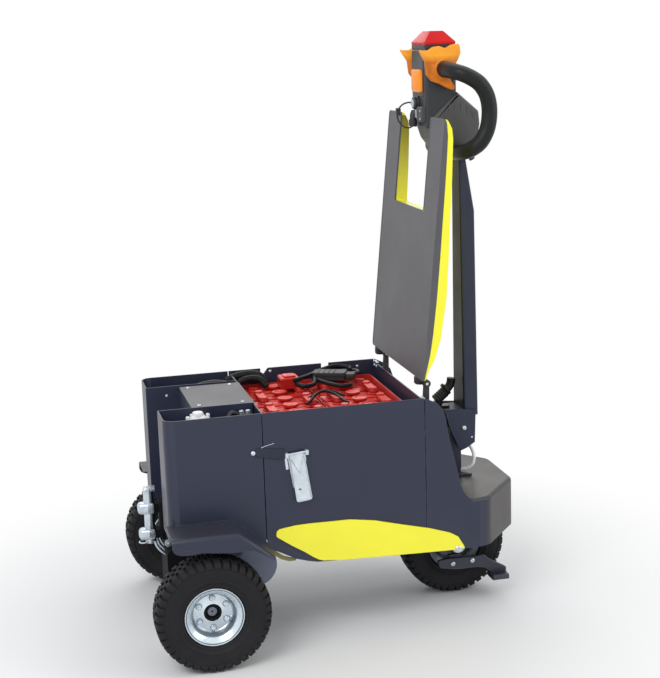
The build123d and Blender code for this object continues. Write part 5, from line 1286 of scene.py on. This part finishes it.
# %% Coupling jaws and rods
JAWS = ((278, 305), (215, 241))
nose = rounded([(-449, -12), (-449, 12), (-426, 17), (-410, 17), (-410, -17), (-426, -17)],
               [10, 10, 6, 5, 5, 6], 5)
bm = bmesh.new()
for low, high in JAWS:
    slab(bm, nose, [(low, 6), (low + 1.5, 3), (low + 5, 0.6), (low + 9, 0), (high - 9, 0), (high - 5, 0.6),
                    (high - 1.5, 3), (high, 6)], "xy")
    arm_layers = [(low + 3, 1), (low + 4, 0), (high - 4, 0), (high - 3, 1)]
    slab(bm, box_outline((-413, -388), (-14, 14)), arm_layers, "xy", 1)
slab(bm, rounded(box_outline((-400, -388), (-19, 19)), 4), [(215, 0), (217, 0), (303, 0), (305, 1)], "xy", 1)
brick(bm, (-389, -321.5), (-15, 15), (235, 280), 1)
slab(bm, rounded(box_outline((-60, 60), (206, 330)), 8), [(-330, 1), (-329, 0), (-322, 0)], "yz", 1)
for y in (-44, 44):
    for z in (222, 314):
        hex_bolt(bm, (-330, y, z), (-1, 0, 0), 13, 6, washer=9, stud=3)
for shift, y in ((0, -14), (7, 0), (14, 14)):
    route = [(-414 + shift, y, 212), (-409 + shift, y - 2, 198), (-396 + shift, y - 4, 182),
             (-378, y - 5, 170), (-362, y - 4, 166)]
    bar(bm, flowing(route, 6), 2.3, 12)
hex_bolt(bm, (-384, -28, 208), (0, -1, 0), 15, 8, washer=9, stud=4)
jaws = piece("coupling_jaws", bm, "chassis", [PIN_ZINC, AXLE_BLACK], ["coupling"])
print("jaws", [round(v, 3) for v in jaws.dimensions])

# %% [markdown]
# The pin drops through both jaws, and a ring below keeps it from being lifted out. The pin is a turned
# shaft with a flat head. Its ring is a thin bar along a nearly closed circle, so the small gap of a real
# split ring is there too.

# %% Coupling pin and ring
bm = bmesh.new()
turn(bm, [(0, 205), (11, 205), (12.4, 206.6), (12.4, 338), (11.6, 340), (0, 341)], (-422, 0, 0), UP, 40)
slab(bm, rounded(box_outline((-434, -403), (-12, 12)), 6), [(333, 1), (334, 0), (338, 0), (342, 3)], "xy")
RING_STEPS = 28
turns = [2 * pi * k / RING_STEPS for k in range(RING_STEPS - 1)]
bar(bm, [(-436 + 13 * cos(a), 12 * sin(a), 209 + 1.5 * cos(a)) for a in turns], 1.6, 10)
pin = piece("coupling_pin_and_ring", bm, "chassis", [PIN_ZINC], ["coupling_pin"])
print("pin", [round(v, 3) for v in pin.dimensions])

# %% [markdown]
# ## Hinges and the lid's rim
# Each hinge is two black eyes side by side, one on the lid and one on the bay's wall. The lid's eye carries
# a short arm and the pin, and it turns with the lid. The wall's eye stands on a stem, and bright screws hold
# it. A white plug in its hole is painted light, for the bright backdrop seen through the hole.

# %% Hinges
HINGE_X, HINGE_Y, HINGE_Z = 212, 170, 578
LID_EYE = [(0, 0.5), (7.6, 0.5), (8.6, 1.5), (8.6, 17), (7.6, 18), (0, 18)]
WALL_EYE = [(3.6, -18), (7.6, -18), (8.8, -16.5), (8.8, -1.5), (7.6, -0.5), (3.6, -0.5)]
hinge_arm = rounded([(190, 574), (203, 572), (211, 576), (209, 586), (203, 596), (194.5, 597), (190, 590)],
                    3.5, 3)
stem = rounded([(197, 538), (197, 505), (217, 505), (218, 576), (206, 574), (204, 546)],
               [3, 3, 3, 3, 3, 6], 3)
on_lid, on_bay, screws = bmesh.new(), bmesh.new(), bmesh.new()
for side in (-1, 1):
    y = side * HINGE_Y
    eye_at = (HINGE_X, y, HINGE_Z)
    turn(on_lid, LID_EYE, eye_at, steps=28)
    slab(on_lid, hinge_arm, [(y + 2, 1.5), (y + 3.5, 0), (y + 15.5, 0), (y + 17, 1.5)])
    turn(on_lid, [(0, -16), (2.8, -16), (2.8, 2), (0, 2)], eye_at, steps=14)
    slab(on_bay, stem, [(y - 15, 1), (y - 14, 0), (y - 4, 0), (y - 3, 1)])
    turn(on_bay, WALL_EYE, eye_at, steps=28, closed=True)
    # Painted light: a white plug in the eye's hole, for the bright backdrop seen through it.
    turn(on_bay, [(0, -17), (3.6, -17), (3.6, -2), (0, -2)], eye_at, steps=14, skin=1)
    for dy in (-9, 9):
        pan_screw(screws, (194, side * 196 + dy, 540), (-1, 0, 0), 4.2, 3)
        pan_screw(screws, (197, side * 199 + dy * 0.8, 548.5), (0, 0, 1), 4.0, 3)
piece("hinge_ends", on_lid, "lid", [BLACK_PLASTIC], ["lid_hinges"])
blocks = piece("hinge_blocks", on_bay, "chassis", [BLACK_PLASTIC, WHITE_PLASTIC],
               ["hinge_brackets"])
piece("hinge_screws", screws, "chassis", [ZINC])
print("hinge blocks", [round(v, 3) for v in blocks.dimensions])

# %% [markdown]
# The lid's grey panel is a shallow tray, and its rim shows as a grey band around the yellow hood. A band is
# a thin wall: it follows the hood's outline in plan, and its height changes along the lid. Its places are
# measured along the lid from the hinge and out from it, and the lid leans a little.

# %% Rim of the lid's tray
HINGE_AT, LEAN = Vector((HINGE_X, 0, HINGE_Z)), radians(5.8)
ALONG, OUT = Vector((sin(LEAN), 0, cos(LEAN))), Vector((cos(LEAN), 0, -sin(LEAN)))
RIM_HEIGHT = [(12, -17.5), (39, -14), (61, -10), (112, -6), (202, -3.6), (293, -3.6), (384, -4.8),
              (473, -5.6), (562, -8), (584, -10), (604, -16)]
NOTCH_RIM, RIM_BACK = -16.0, -20.5


def rim_height(along):
    """How far the band reaches at a place along the lid."""
    for (a, low), (b, high) in zip(RIM_HEIGHT, RIM_HEIGHT[1:]):
        if along <= b:
            return low + (high - low) * max(0.0, along - a) / (b - a)
    return RIM_HEIGHT[-1][1]


LID_START, LID_TIP, LID_HALF = 12, 603, 219
NOTCH_FOOT, NOTCH_HALF = 390, 118
corners = [(LID_START, -LID_HALF), (LID_TIP, -LID_HALF), (LID_TIP, -NOTCH_HALF), (NOTCH_FOOT, -NOTCH_HALF),
           (NOTCH_FOOT, NOTCH_HALF), (LID_TIP, NOTCH_HALF), (LID_TIP, LID_HALF), (LID_START, LID_HALF)]
plan = []
soft_corners = [Vector(p) for p in rounded(corners, 10, 4)]
for a, b in zip(soft_corners, soft_corners[1:] + soft_corners[:1]):
    steps = max(1, int((b - a).length / 24))
    plan += [a.lerp(b, k / steps) for k in range(steps)]
bm = bmesh.new()
columns = []
for lip, inner, outer in zip(drawn_in(plan, 3.2), drawn_in(plan, 0.4), drawn_in(plan, -0.7)):
    top = rim_height(inner.x) if abs(inner.y) > NOTCH_HALF + 4 else NOTCH_RIM
    spots = [(lip, RIM_BACK + 0.4), (lip, RIM_BACK), (outer, RIM_BACK), (outer, top - 0.6), (inner, top),
             (inner, RIM_BACK + 0.4)]
    columns.append([bm.verts.new(HINGE_AT + ALONG * p.x + Vector((0, p.y, 0)) + OUT * out)
                    for p, out in spots])
for here, ahead in zip(columns, columns[1:] + columns[:1]):
    for k in range(len(here)):
        bm.faces.new((here[k], ahead[k], ahead[k - 1], here[k - 1]))
tray_rim = piece("lid_tray_rim", bm, "lid", [PANEL_GREY])
print("lid rim", [round(v, 3) for v in tray_rim.dimensions], "columns:", len(columns))

# %% [markdown]
# ## Hose, fenders and pedal
# A white hose brings the cable from the tiller's bracket down into the cowl in an open curl. The solid hose
# has a plain bend, and a bar along a smooth line follows the looser curl of a real one.

# %% Conduit hose
CONDUIT = [(344.5, -18, 384), (363, -24, 378.5), (375.5, -30, 354), (373, -33, 329), (359.5, -29, 315),
           (345, -22, 311)]
bm = bmesh.new()
bar(bm, flowing(CONDUIT, 8), 4.4, 20)
hose = piece("conduit_hose", bm, "chassis", [CONDUIT_WHITE], ["conduit"])
print("hose", [round(v, 3) for v in hose.dimensions])

# %% [markdown]
# Below each long yellow plate its sheet turns in, and a narrow strip of it shows behind the front wheel,
# painted dark khaki as painted shade on the yellow. At its outer front corner each fender's sheet is folded
# down into a small rounded flap. Both are thin slabs of a side outline, the same on both sides.

# %% Panel returns and fender corners
EDGE_OF_RETURN = [(-178, 246), (-161, 224), (-145, 212), (-129, 206), (-116, 206)]
RETURN_WIDTH = [(0, -8), (-3, -8), (-6, -7), (-8, -6), (-9, -3)]
back = [(x + dx, z + dz) for (x, z), (dx, dz) in zip(reversed(EDGE_OF_RETURN), RETURN_WIDTH)]
bm = bmesh.new()
for side in (-1, 1):
    strip = [(side * 208, 0.5), (side * 209, 0), (side * 212, 0), (side * 213, 0.5)]
    slab(bm, EDGE_OF_RETURN + back, strip)
# The strip's khaki is painted shade on the yellow sheet.
piece("panel_returns", bm, "chassis", [SHADED_RETURN_YELLOW])
bm = bmesh.new()
corner = rounded([(-408.6, 306), (-409, 293), (-404, 283), (-390, 278), (-366, 277), (-346, 279),
                  (-346, 280.6), (-383, 290), (-402, 304)], [1, 8, 12, 12, 8, 1, 1, 6, 3], 4)
for side in (-1, 1):
    slab(bm, corner, [(side * 315.1, 0.3), (side * 315.4, 0), (side * 317.6, 0), (side * 317.9, 0.3)])
flaps = piece("fender_corners", bm, "chassis", [BODY_PAINT])
print("fender corners", [round(v, 3) for v in flaps.dimensions])

# %% [markdown]
# The pedal on the castor's fork is a cranked arm with two bright screws and a flat tread with four grip
# ribs. The arm is one slab of its side outline, and it turns with the castor.

# %% Castor pedal
ARM = [(262, 103), (292, 106), (360, 104), (383, 106), (394, 95), (440, 68), (440, 46), (409, 44), (397, 62),
       (384, 72), (366, 76), (310, 76), (270, 84)]
bm = bmesh.new()
arm = rounded(ARM, [8, 20, 20, 14, 14, 3, 3, 3, 12, 14, 14, 20, 6], 5)
slab(bm, arm, [(-80, 1), (-79, 0), (-71, 0), (-70, 1)])
tread = rounded(box_outline((397, 440), (-104, -56)), 4)
slab(bm, tread, [(46, 0), (56, 0), (58, 1.2)], "xy")
for x in (404, 413, 422, 431):
    bar(bm, [(x, -99, 58), (x, -61, 58)], 1.6, 8)
slab(bm, rounded(box_outline((296, 326), (80, 112)), 3), [(-71, 0), (-60, 0)])
for x, z in ((302, 92), (352, 95)):
    pan_screw(bm, (x, -80, z), (0, -1, 0), 6, 3.6, skin=1)
pedal = piece("castor_pedal_arm", bm, "castor", [PEDAL_PAINT, ZINC], ["castor_pedal"])
print("pedal", [round(v, 3) for v in pedal.dimensions])

# %% [markdown]
# ## Edges
# A sheet's cut edge shows as a thin bright line. On the solids that keep their own shape, a Bevel modifier
# rounds each sharp edge by about a millimetre, which is enough for the light. A Weld modifier comes first,
# because the bevel needs faces that share their corners.

# %% Soft edges on the kept solids
EDGES = {"front_pod_left": 0.7, "front_pod_right": 0.7, "side_panel_left": 0.5, "side_panel_right": 0.5,
         "rear_cowl": 0.5, "lid_hood": 0.6, "lid_panel": 0.5, "side_trims": 1.0, "battery_tray": 1.2,
         "control_cover": 0.6, "tiller_bracket": 1.2, "tiller_column": 1.0, "castor_fork": 1.2,
         "tiller_post": 1.0, "axle_housing": 1.5, "castor_mount": 1.0, "hinge_brackets": 0.8,
         "lid_hinges": 0.8}
WELD_REACH, SHARP_FROM = 0.00002, 38


def soften(solid, width_mm):
    """Rounds a solid's sharp edges a little, so that they catch the light."""
    solid.modifiers.new("weld", "WELD").merge_threshold = WELD_REACH
    edge = solid.modifiers.new("soft_edges", "BEVEL")
    edge.width = width_mm * MM
    edge.segments = 2
    edge.limit_method = "ANGLE"
    edge.angle_limit = radians(SHARP_FROM)


for name, width in EDGES.items():
    soften(nodes[name], width)
print("softened", len(EDGES), "solids")
